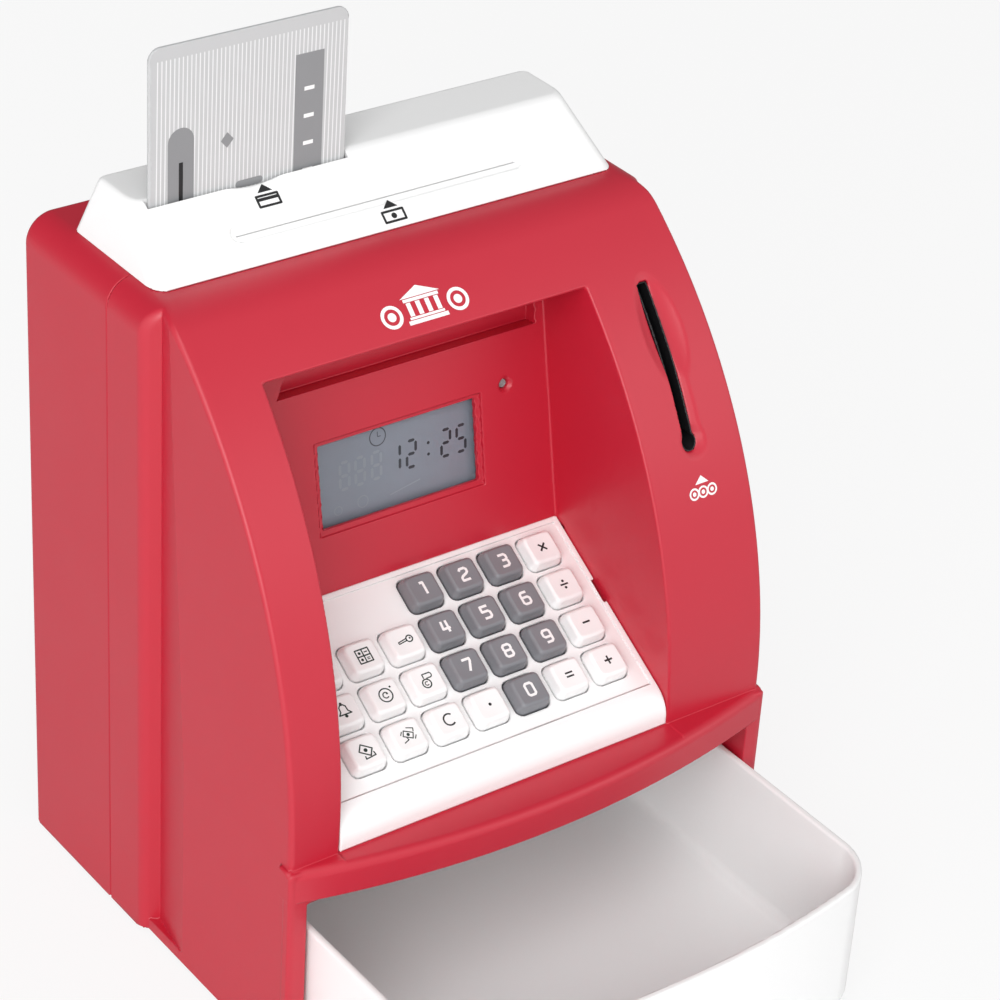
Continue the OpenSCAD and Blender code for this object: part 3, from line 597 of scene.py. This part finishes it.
def key_place(k):
    """Column across and distance up the slope of a key."""
    row = 0 if k < 4 else 1 + (k - 4) // 7
    column = 3 + k if k < 4 else (k - 4) % 7
    return KEY_LEFT + COLUMN_PITCH * column, KEY_TOP - ROW_PITCH * row


def on_pad(y, z):
    """Distance up the keypad's slope and out of it."""
    c, s = math.cos(PAD_LEAN), math.sin(PAD_LEAN)
    return (y - PAD_Y) * c + (z - PAD_Z) * s, (z - PAD_Z) * c - (y - PAD_Y) * s


def pad_skin(y, z, t):
    """Sloped top and round nose of the keypad panel, drawn in by t."""
    c, s = math.cos(PAD_LEAN), math.sin(PAD_LEAN)
    ny = CHIN + NOSE_R
    nz = PAD_Z + (ny - NOSE_R * s - PAD_Y) * s / c - NOSE_R * c
    _, out = on_pad(y, z)
    py, pz = y - ny, z - nz
    nose = np.hypot(py, pz) - NOSE_R
    flat = np.maximum(out, CHIN - y)
    return np.where((pz > 0) & (py * c + pz * s < 0), nose, flat) + t


def keypad_field(x, y, z):
    """Keypad panel with a hole for each key."""
    sides = recess_sides(x, z) + 0.12
    up, out = on_pad(y, z)
    rear_end = up - 22.9
    shape = meet(meet(pad_skin(y, z, 0), sides, 0.35), rear_end, 0.35)
    # The key field lies a little below a narrow border
    field = np.maximum(np.maximum(sides + 1.7, rear_end + 1.6), -27.5 - up)
    shape = np.maximum(shape, np.minimum(out + 0.22, -field * 0.5))
    shape = cut(shape, box(x, up, out, (39.2, -3.2, -3), (43, 3.4, 3), 0.2), 0.2)
    inner = np.maximum(pad_skin(y, z, 2.2), sides + 1.8)
    shape = np.maximum(np.maximum(shape, LEDGE + 0.02 - z), -inner)
    near = out > -4
    for k in range(len(KEYS)):
        u, v = key_place(k)
        hole = rect(x - u, up - v, 10.4, 10.0, 2.1)
        shape = np.where(near, cut(shape, hole, 0.35), shape)
    return shape


pad = moulded("keypad_panel_shell", keypad_field, (-57, -27.6, 61.2), (41, 21.6, 97.4),
              0.4, 130000)
piece("keypad_panel_shell", pad, WHITE, "housing", "white_plastic", "keypad_panel")


def key_field(u, v, w):
    """A key about its own centre, w out of the panel."""
    shrink = 0.27 * np.clip(w + 0.2, 0, 3)
    cap = meet(rect(u, v, 9.8, 9.4, 2.0) + shrink, w - KEY_RISE, 0.8)
    # A slightly dished top
    dish = w - KEY_RISE + 0.18 * (1 - (u * u + v * v) / 17)
    cap = np.maximum(cap, dish)
    cap = np.maximum(cap, -2.4 - w)
    flange = box(u, v, w, (-5.5, -5.3, -3.2), (5.5, 5.3, -2.35), 0.3)
    stem = np.maximum(np.hypot(u, v) - 2.2, np.abs(w + 3.4) - 1)
    return np.minimum(np.minimum(cap, flange), stem)


def matrix(origin, across, up):
    """Placement with +X across, +Y up and +Z out, origin in millimetres."""
    across, up = Vector(across).normalized(), Vector(up).normalized()
    m = Matrix((across, up, across.cross(up))).transposed().to_4x4()
    m.translation = Vector(origin) * MM
    return m


def pad_matrix(k):
    """Placement of a key on the panel's slope."""
    u, v = key_place(k)
    c, s = math.cos(PAD_LEAN), math.sin(PAD_LEAN)
    return matrix((u, PAD_Y + v * c, PAD_Z + v * s), (1, 0, 0), (0, c, s))


key_white = moulded("key_cap_white", key_field, (-5.6, -5.4, -4.5), (5.6, 5.4, 2.7), 0.22, 8000)
key_grey = key_white.copy()
key_grey.name = "key_cap_grey"
key_white.materials.append(WHITE)
key_grey.materials.append(GREY_KEY)
for k, name in enumerate(KEYS):
    digit = len(name) == 1
    cap = link("cap_" + name, key_grey if digit else key_white)
    cap.matrix_world = pad_matrix(k)
    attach(cap, "key_" + name)
    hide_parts("key_" + name)

# ---------- printed signs: flat shapes as lists of outlines ----------


def bar(p, q, w):
    """A straight bar from p to q."""
    p, q = np.array(p, float), np.array(q, float)
    d = (q - p) / np.hypot(*(q - p))
    n = np.array([-d[1], d[0]]) * w / 2
    return [[p + n, p - n, q - n, q + n]]


def dot(c, r, n=20):
    """A filled circle."""
    a = np.arange(n) * 2 * np.pi / n
    return [np.array(c) + r * np.c_[np.cos(a), np.sin(a)]]


def ring(c, r, w, a0=0, a1=360, n=32):
    """A ring or part of one, between two angles."""
    a = np.radians(np.linspace(a0, a1, n + 1))
    e = np.c_[np.cos(a), np.sin(a)]
    p, q = np.array(c) + e * (r - w / 2), np.array(c) + e * (r + w / 2)
    return [[p[i], q[i], q[i + 1], p[i + 1]] for i in range(n)]


def stroke(points, w, closed=False):
    """A bent line with round corners."""
    pts = [np.array(p, float) for p in points]
    ends = pts + pts[:1] if closed else pts
    out = []
    for p, q in zip(ends, ends[1:]):
        out += bar(p, q, w)
    for p in (pts if closed else pts[1:-1]):
        out += dot(p, w / 2, 12)
    return out


def moved(shapes, dx, dy, scale=1.0, turn=0.0):
    """The shapes scaled, turned and shifted."""
    c, s = math.cos(math.radians(turn)), math.sin(math.radians(turn))
    m = np.array([[c, s], [-s, c]]) * scale
    return [np.array(p) @ m + (dx, dy) for p in shapes]


def printed(name, shapes, place, material, body, height=0.03, base=None):
    """Ink on a surface: place(u, v, h) gives the point in millimetres."""
    verts, faces = [], []
    for i, poly in enumerate(shapes):
        poly = np.array(poly, float)
        x, y = poly[:, 0], poly[:, 1]
        if (x * np.roll(y, -1) - y * np.roll(x, -1)).sum() < 0:
            poly = poly[::-1]
        h = height + 0.0015 * (i % 16)
        faces.append(list(range(len(verts), len(verts) + len(poly))))
        verts += [Vector(place(u, v, h)) * MM for u, v in poly]
    data = bpy.data.meshes.new(name)
    data.from_pydata(verts, [], faces)
    obj = link(name, data)
    data.materials.append(material)
    if base is not None:
        obj.matrix_world = base
    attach(obj, body)
    return obj


def flat(u, v, h):
    return (u, v, h)


DIGIT = {
    "0": ([(0, .2), (.2, 0), (.8, 0), (1, .2), (1, 1.3), (.8, 1.5), (.2, 1.5), (0, 1.3)], 1),
    "1": ([(.15, 1.5), (.6, 1.5), (.6, 0)], 0),
    "2": ([(0, 1.25), (.2, 1.5), (.8, 1.5), (1, 1.3), (1, 1.0), (.8, .8), (.2, .55), (0, .35),
           (0, 0), (1, 0)], 0),
    "3": ([(0, 1.5), (.8, 1.5), (1, 1.3), (1, .95), (.85, .78), (1, .6), (1, .2), (.8, 0),
           (0, 0)], 0),
    "4": ([(.1, 1.5), (0, .5), (1, .5)], 0),
    "5": ([(.95, 1.5), (0, 1.5), (0, .85), (.8, .85), (1, .65), (1, .2), (.8, 0), (0, 0)], 0),
    "6": ([(.9, 1.5), (.2, 1.5), (0, 1.3), (0, .2), (.2, 0), (.8, 0), (1, .2), (1, .65),
           (.8, .85), (0, .85)], 0),
    "7": ([(0, 1.5), (1, 1.5), (1, 1.2), (.45, 0)], 0),
    "8": ([(0, .2), (.2, 0), (.8, 0), (1, .2), (1, .6), (.85, .78), (1, .95), (1, 1.3), (.8, 1.5),
           (.2, 1.5), (0, 1.3), (0, .95), (.15, .78), (0, .6)], 1),
}


def numeral(name, scale, w):
    if name == "9":
        return [-np.array(p) for p in numeral("6", scale, w)]
    points, closed = DIGIT[name]
    shapes = stroke([((u - .5) * scale, (v - .75) * scale) for u, v in points], w, closed)
    if name == "4":
        shapes += bar((.2 * scale, .75 * scale), (.2 * scale, -.75 * scale), w)
    if name == "3":
        shapes += bar((-.2 * scale, .03 * scale), (.4 * scale, .03 * scale), w)
    if name == "8":
        shapes += bar((-.4 * scale, .03 * scale), (.4 * scale, .03 * scale), w)
    return shapes


def outline_note(w, h, t):
    return stroke([(-w, -h), (w, -h), (w, h), (-w, h)], t, True)


W = 0.34
SIGNS = {
    "multiply": bar((-.95, -.95), (.95, .95), .5) + bar((-.95, .95), (.95, -.95), .5),
    "divide": bar((-1.15, 0), (1.15, 0), .45) + dot((0, .95), .36) + dot((0, -.95), .36),
    "minus": bar((-1.1, 0), (1.1, 0), .5),
    "plus": bar((-1.15, 0), (1.15, 0), .5) + bar((0, -1.15), (0, 1.15), .5),
    "equals": bar((-1.1, .5), (1.1, .5), .45) + bar((-1.1, -.5), (1.1, -.5), .45),
    "point": dot((0, 0), .42),
    "clear": ring((0, 0), 1.5, .42, 48, 312, 28),
    "calculator": stroke([(-1.8, -1.8), (1.8, -1.8), (1.8, 1.8), (-1.8, 1.8)], W, True)
    + bar((0, -1.8), (0, 1.8), W) + bar((-1.8, 0), (1.8, 0), W) + dot((-.9, .9), .38)
    + bar((.45, .9), (1.35, .9), .3) + dot((-.9, -.9), .38)
    + bar((.5, -.7), (1.3, -.7), .22) + bar((.5, -1.1), (1.3, -1.1), .22),
    "code": ring((1.3, .3), .85, W) + dot((1.5, .4), .26)
    + stroke([(.5, 0), (-1.9, -.35), (-1.95, .1), (.45, .55)], .3),
    "coin": ring((0, 0), 1.75, W) + ring((0, 0), .75, .3, 40, 320, 20) + dot((2.0, 1.7), .26)
    + dot((.5, .35), .28),
    "coin_out": ring((-.5, -.8), 1.15, W) + ring((-.5, -.8), .5, .26, 40, 320, 14)
    + stroke([(-.7, .6), (-.7, 1.7), (1.5, 1.7)], .3) + ring((1.1, 1.1), .62, .3, -100, 90, 12)
    + bar((0, .45), (1.1, .5), .3),
    "alarm": stroke([(-1.7, -1.0), (-1.0, -.2), (-.9, 1.0), (-.4, 1.5), (.4, 1.5), (.9, 1.0),
                     (1.0, -.2), (1.7, -1.0)], W, True) + dot((0, 1.85), .36)
    + dot((0, -1.5), .42),
    "card": outline_note(1.9, 1.25, W) + bar((-1.9, .5), (1.9, .5), .5)
    + bar((-1.3, -.5), (.1, -.5), .26),
    "note": moved(outline_note(1.5, 1.0, W) + dot((0, 0), .5), 0, .2, 1, -35)
    + stroke([(-.8, -1.2), (-.9, -2.0), (1.9, -1.7), (1.7, -.7)], .32),
    "note_out": moved(outline_note(1.25, .75, .28) + dot((0, 0), .42), .1, .1, 1, -28)
    + moved(stroke([(-1, -.5), (.6, -.5), (.6, .5)], .26), -1.1, -.9, 1, 20)
    + moved(stroke([(-.9, .5), (.9, .5), (.9, -.4)], .26), 1.0, 1.1, 1, -20)
    + bar((-1.9, .4), (-1.2, 1.3), .26) + bar((1.3, -1.5), (2.0, -.6), .26),
}
SUMS = "multiply divide minus plus equals point clear".split()
for k, name in enumerate(KEYS):
    digit = len(name) == 1
    signs = numeral(name, 2.15, 0.68) if digit else SIGNS[name]
    ink = WHITE_INK if digit else BLACK_INK if name in SUMS else INK
    printed("sign_" + name, signs, lambda u, v, h: (u, v, 2.42 + h + (u * u + v * v) * 0.0106),
            ink, "key_" + name, 0.02, pad_matrix(k))

# Signs of the slots: an arrow head over a small picture in place of each word
HOUSE = bar((-5.6, .5), (5.6, .5), 1.0) + bar((-4.9, 1.5), (4.9, 1.5), .6)
for column in (-3.9, -1.3, 1.3, 3.9):
    HOUSE += bar((column, 2.0), (column, 5.4), 1.25)
HOUSE += bar((-5.0, 6.0), (5.0, 6.0), .8) + [np.array([(-5.7, 6.6), (5.7, 6.6), (0, 9.2)])]
for side in (-9.4, 9.4):
    HOUSE += ring((side, 3.1), 2.5, .9) + dot((side, 3.1), 1.15)


def on_fascia(u, v, h):
    """v along the fascia's arc, up from the height of its centre."""
    turn, r = v / FASCIA_R, FASCIA_R + h
    return (u, FASCIA[0] - r * math.cos(turn), FASCIA[1] + r * math.sin(turn))


printed("bank_sign", moved(HOUSE, -5.7, 115.8), on_fascia, WHITE_INK, "housing",
        0.06)
ARROW = [np.array([(-2.05, 0), (2.05, 0), (0, 2.0)])]
COIN_SIGN = []
for column in (-2.75, 0, 2.75):
    COIN_SIGN += ring((column, -2.2), 1.3, .5, 0, 360, 24) + dot((column, -2.2), .55)
printed("coin_sign", moved(ARROW + COIN_SIGN, 55, 58.6), on_fascia, WHITE_INK, "housing",
        0.06)


def on_slope(u, v, h):
    """u across, v up the cover's front slope."""
    return (u, COVER_Y + SLOPE_COS * v - SLOPE_SIN * h, TOP + SLOPE_SIN * v + SLOPE_COS * h)


CARD_SIGN = outline_note(2.9, 1.35, .6) + bar((-2.9, .45), (2.9, .45), .8)
BILL_SIGN = outline_note(2.9, 1.35, .6) + dot((0, 0), .75)
printed("card_sign", moved(ARROW + moved(CARD_SIGN, 0, -2.2), -28.8, 17.7), on_slope, BLACK_INK,
        "housing")
printed("bill_sign", moved(ARROW + moved(BILL_SIGN, 0, -2.2), 0.9, 5.9), on_slope, BLACK_INK,
        "housing")

# ---------- display ----------

LCD_DEPTH = 3.6


def on_lcd(u, v, h):
    """u across, v up the display plane, on the face of the display module."""
    n = -LCD_DEPTH + h
    return (u, DISPLAY_Y + v * math.sin(DISPLAY_LEAN) - n * math.cos(DISPLAY_LEAN),
            DISPLAY_Z + v * math.cos(DISPLAY_LEAN) + n * math.sin(DISPLAY_LEAN))


SEGMENTS = {"a": ((.1, 2), (.9, 2)), "g": ((.1, 1), (.9, 1)), "d": ((.1, 0), (.9, 0)),
            "f": ((0, 1.1), (0, 1.9)), "b": ((1, 1.1), (1, 1.9)), "e": ((0, .1), (0, .9)),
            "c": ((1, .1), (1, .9))}
LIT = {"1": "bc", "2": "abged", "5": "afgcd", "8": "abcdefg"}


def seven(u0, v0, digit, w=2.6, h=3.45, t=0.78, slant=0.05):
    """A seven-segment digit: w wide, 2 h high, bars t thick."""
    out = []
    for name in LIT[digit]:
        (a, b), (c, d) = SEGMENTS[name]
        p = np.array((u0 + a * w + slant * b * h, v0 + b * h))
        q = np.array((u0 + c * w + slant * d * h, v0 + d * h))
        e = (q - p) / np.hypot(*(q - p))
        n = np.array([-e[1], e[0]]) * t / 2
        out.append([p, p + e * t / 2 + n, q - e * t / 2 + n, q, q - e * t / 2 - n,
                    p + e * t / 2 - n])
    return out


lit_shapes = (seven(-6.3, 22.6, "1") + seven(-1.6, 22.5, "2") + seven(8.7, 22.5, "2")
              + seven(13.3, 22.4, "5") + dot((5.0, 27.4), .42) + dot((4.9, 24.4), .42))
printed("display_digits", lit_shapes, on_lcd, SEGMENT, "housing")
clock = ring((-9.6, 33.1), 2.3, .28, 0, 360, 36) + bar((-9.6, 33.1), (-9.6, 34.4), .2) \
    + bar((-9.6, 33.1), (-8.7, 33.1), .2)
printed("display_clock", clock, on_lcd, SEGMENT, "housing")
ghosts = seven(-21.2, 22.3, "8") + seven(-16.7, 22.3, "8") + seven(-11.9, 22.4, "8") \
    + ring((-15.0, 17.6), 1.5, .22) + ring((-22.2, 17.2), 1.1, .2) + bar((-7, 17), (2, 18.6), .25)
printed("display_ghosts", ghosts, on_lcd, GHOST, "housing", 0.015)

# ---------- drawer, card, spring ----------


def tray_field(x, y, z):
    """Drawer with a bowed front."""
    a = np.abs(x)
    bow = np.hypot(x, y - 177) - 268
    outline = meet(meet(bow, a - 65.6, 12), y - 30, 0.8)
    room = meet(meet(bow + 2, a - 63.6, 10), y - 28, 1.5)
    shape = meet(meet(outline, 5.4 - z, 1.6), z - 42.5, 0.6)
    shape = cut(shape, meet(room, 7.4 - z, 2.5), 0.6)
    return join(shape, box(a, y, z, (64, 26, 30), (67.2, 30, 38), 0.3), 0.2)


tray = moulded("drawer_tray_shell", tray_field, (-67.5, -91.2, 5.2), (67.5, 30.2, 42.7),
               0.6, 130000)
piece("drawer_tray_shell", tray, WHITE, "drawer", "white_plastic", "drawer_tray")


def card_field(x, y, z):
    """A plain card with round corners."""
    return meet(rect(x + 31.3, z - 188.8, 54, 85.6, 3.2), np.abs(y - 56.9) - 0.4, 0.12)


card = moulded("bank_card_blank", card_field, (-58.4, 56.4, 145.9), (-4.2, 57.4, 231.7),
               0.3, 30000)
piece("bank_card_blank", card, CARD, "card", "card_plastic", "bank_card")


def on_card(u, v, h):
    """u from the card's left edge, v from its bottom edge, on its front face."""
    return (-58.3 + u, 56.5 - h, 146 + v)


def pill(u, v0, v1, w):
    """An upright bar with round ends."""
    return bar((u, v0), (u, v1), w) + dot((u, v0), w / 2, 28) + dot((u, v1), w / 2, 28)


lines = []
for i in range(46):
    lines += bar((1.6 + 1.12 * i, 3.4), (2.4 + 1.12 * i, 82.2), .3)
printed("card_lines", lines, on_card, PALE_INK, "card", 0.008)
art = pill(8.6, 33, 61.2, 7.0) \
    + [np.array([(19.3, 58.8), (21, 56.8), (22.8, 58.8), (21, 60.8)])] \
    + bar((43.4, 10), (43.4, 76), 7.9) + bar((24.4, 46.6), (30.0, 46.6), 1.9) \
    + dot((24.4, 46.6), .95) + dot((30.0, 46.6), .95)
printed("card_art", art, on_card, GREY_INK, "card", 0.03)
groups = []
for i in range(8):
    groups += bar((42.0, 18 + 7 * i), (44.8, 18 + 7 * i), 1.0)
printed("card_marks", groups, on_card, WHITE_INK, "card", 0.06)
printed("card_bar", bar((8.6, 36), (8.6, 56), 1.1), on_card, BLACK_INK, "card",
        0.06)


def wound(name, radius, wire, length, turns, at):
    """A wire coil along -Y from a point, with closed ends."""
    steps, sides = 28 * turns, 10
    a = np.linspace(0, 2 * np.pi * turns, steps + 1)
    share = np.linspace(0, 1, steps + 1)
    along = length * (share - np.sin(2 * np.pi * share) * 0.06)
    line = np.c_[radius * np.cos(a), -along, radius * np.sin(a)] + at
    t = np.gradient(line, axis=0)
    t /= np.linalg.norm(t, axis=1)[:, None]
    n = np.c_[np.cos(a), 0 * a, np.sin(a)]
    b = np.cross(t, n)
    ang = np.arange(sides) * 2 * np.pi / sides
    pts = (line[:, None] + wire * (np.cos(ang)[None, :, None] * n[:, None]
                                   + np.sin(ang)[None, :, None] * b[:, None])).reshape(-1, 3)
    i, j = np.meshgrid(np.arange(steps), np.arange(sides), indexing="ij")
    k = (j + 1) % sides
    quads = np.stack([i * sides + j, i * sides + k, (i + 1) * sides + k, (i + 1) * sides + j], -1)
    return mesh_from(name, pts.T, quads.reshape(-1, 4))


spring = wound("drawer_spring_coil", 4.6, 0.5, 17.2, 6, (0, 88.0, 24))
coil = piece("drawer_spring_coil", spring, STEEL, "housing", "steel", "drawer_spring")
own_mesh(coil)

# ---------- finishes of the parts that keep their CAD shape ----------

FINISH = {
    "red_plastic": RED, "white_plastic": WHITE, "grey_key": GREY_KEY, "inner_plastic": INNER,
    "black_plastic": BLACK, "gear_plastic": GEAR, "foot_rubber": RUBBER, "silicone": SILICONE,
    "steel": STEEL, "brass": BRASS, "copper_winding": COPPER, "cell_sleeve": CELL,
    "clear_window": CLEAR, "display_glass": GLASS, "clear_led": CLEAR_LED,
    "circuit_board": BOARD, "card_plastic": CARD}
SLOT_OF = {s["node"]: s["material_slot"] for s in frame["record"]["subparts"]}
BEVEL = {"base_plate": 0.4, "rubber_feet": 0.8, "coin_chute": 0.2, "coin_lever": 0.2,
         "bill_guide": 0.25, "latch_bracket": 0.25, "drawer_latch": 0.2, "battery_box": 0.3,
         "battery_cells": 0.4, "feed_motor": 0.5, "latch_solenoid": 0.5, "speaker": 0.8,
         "card_pocket": 0.25, "pinch_roller": 0.2, "drive_tyres": 0.3, "housing_screws": 0.15,
         "key_membrane": 0.1, "lcd_module": 0.15, "indicator_led": 0.3}
for name, obj in nodes.items():
    obj.data.materials.clear()
    obj.data.materials.append(FINISH[SLOT_OF[name]])
    if name in BEVEL:
        mod = obj.modifiers.new("soft_edges", "BEVEL")
        mod.width, mod.segments, mod.limit_method = BEVEL[name] * MM, 2, "ANGLE"
        mod.angle_limit = math.radians(50)

# ---------- lights and backdrop ----------


def softbox(name, spot, width, height, watts):
    """A white area light that faces the object."""
    light = bpy.data.lights.new(name, "AREA")
    light.shape, light.size, light.size_y = "RECTANGLE", width, height
    light.energy = watts
    obj = link(name, light)
    obj.location = spot
    obj.rotation_euler = (Vector(AIMED_AT) - Vector(spot)).to_track_quat("-Z", "Y").to_euler()


AIMED_AT = (0, 0, 0.1)
softbox("front_right", (1.1, -1.3, 0.9), 1.2, 1.0, 4.5)
softbox("front_left", (-1.2, -1.1, 0.9), 1.1, 1.1, 18.5)
softbox("left", (-1.5, 0.2, 0.5), 1.0, 1.2, 2.5)
softbox("top", (-0.5, -0.6, 1.6), 1.0, 1.0, 6)

# A soft surround, dimmer overhead and behind; the camera itself sees plain white
world = bpy.data.worlds.new("studio")
bpy.context.scene.world = world
world.use_nodes = True
wt = world.node_tree
wt.nodes.clear()
coord = wt.nodes.new("ShaderNodeTexCoord")
split = wt.nodes.new("ShaderNodeSeparateXYZ")
ramp = wt.nodes.new("ShaderNodeValToRGB")
lit = wt.nodes.new("ShaderNodeBackground")
seen = wt.nodes.new("ShaderNodeBackground")
path = wt.nodes.new("ShaderNodeLightPath")
mix = wt.nodes.new("ShaderNodeMixShader")
out = wt.nodes.new("ShaderNodeOutputWorld")
HORIZON, MIDWAY, OVERHEAD = 0.95, 0.75, 0.62
stops = ramp.color_ramp.elements
stops[0].position, stops[0].color = 0.0, (HORIZON, HORIZON, HORIZON, 1)
stops[1].position, stops[1].color = 0.9, (OVERHEAD, OVERHEAD, OVERHEAD, 1)
stops.new(0.45).color = (MIDWAY, MIDWAY, MIDWAY, 1)
wt.links.new(coord.outputs["Generated"], split.inputs[0])
wt.links.new(split.outputs["Z"], ramp.inputs[0])
wt.links.new(ramp.outputs[0], lit.inputs[0])
back_fall = wt.nodes.new("ShaderNodeMapRange")
for socket, value in (("From Min", -0.05), ("From Max", 0.75), ("To Min", 0.74), ("To Max", 0.2)):
    back_fall.inputs[socket].default_value = value
wt.links.new(split.outputs["Y"], back_fall.inputs["Value"])
wt.links.new(back_fall.outputs["Result"], lit.inputs[1])
seen.inputs[0].default_value = (1, 1, 1, 1)
wt.links.new(path.outputs["Is Camera Ray"], mix.inputs[0])
wt.links.new(lit.outputs[0], mix.inputs[1])
wt.links.new(seen.outputs[0], mix.inputs[2])
wt.links.new(mix.outputs[0], out.inputs[0])

REACH, UNDER = 3000, 0.05   # half the floor's side, and its drop below the feet
floor_corners = np.array([[-REACH, REACH, REACH, -REACH], [-REACH, -REACH, REACH, REACH],
                          [-UNDER] * 4], float)
floor_data = mesh_from("floor", floor_corners, np.array([[0, 1, 2, 3]]))
floor = link("floor", floor_data)
floor_mat = bpy.data.materials.new("floor")
floor_mat.use_nodes = True
ft = floor_mat.node_tree
glow = ft.nodes.new("ShaderNodeEmission")
glow.inputs[0].default_value = (1, 1, 1, 1)
ray = ft.nodes.new("ShaderNodeLightPath")
blend_node = ft.nodes.new("ShaderNodeMixShader")
base = ft.nodes["Principled BSDF"]
base.inputs["Base Color"].default_value = (0.85, 0.85, 0.85, 1)
base.inputs["Roughness"].default_value = 0.8
share = ft.nodes.new("ShaderNodeMath")
share.operation = "MULTIPLY"
share.inputs[1].default_value = 0.85
ft.links.new(ray.outputs["Is Camera Ray"], share.inputs[0])
ft.links.new(share.outputs[0], blend_node.inputs[0])
ft.links.new(base.outputs[0], blend_node.inputs[1])
ft.links.new(glow.outputs[0], blend_node.inputs[2])
ft.links.new(blend_node.outputs[0], ft.nodes["Material Output"].inputs[0])
floor.data.materials.append(floor_mat)
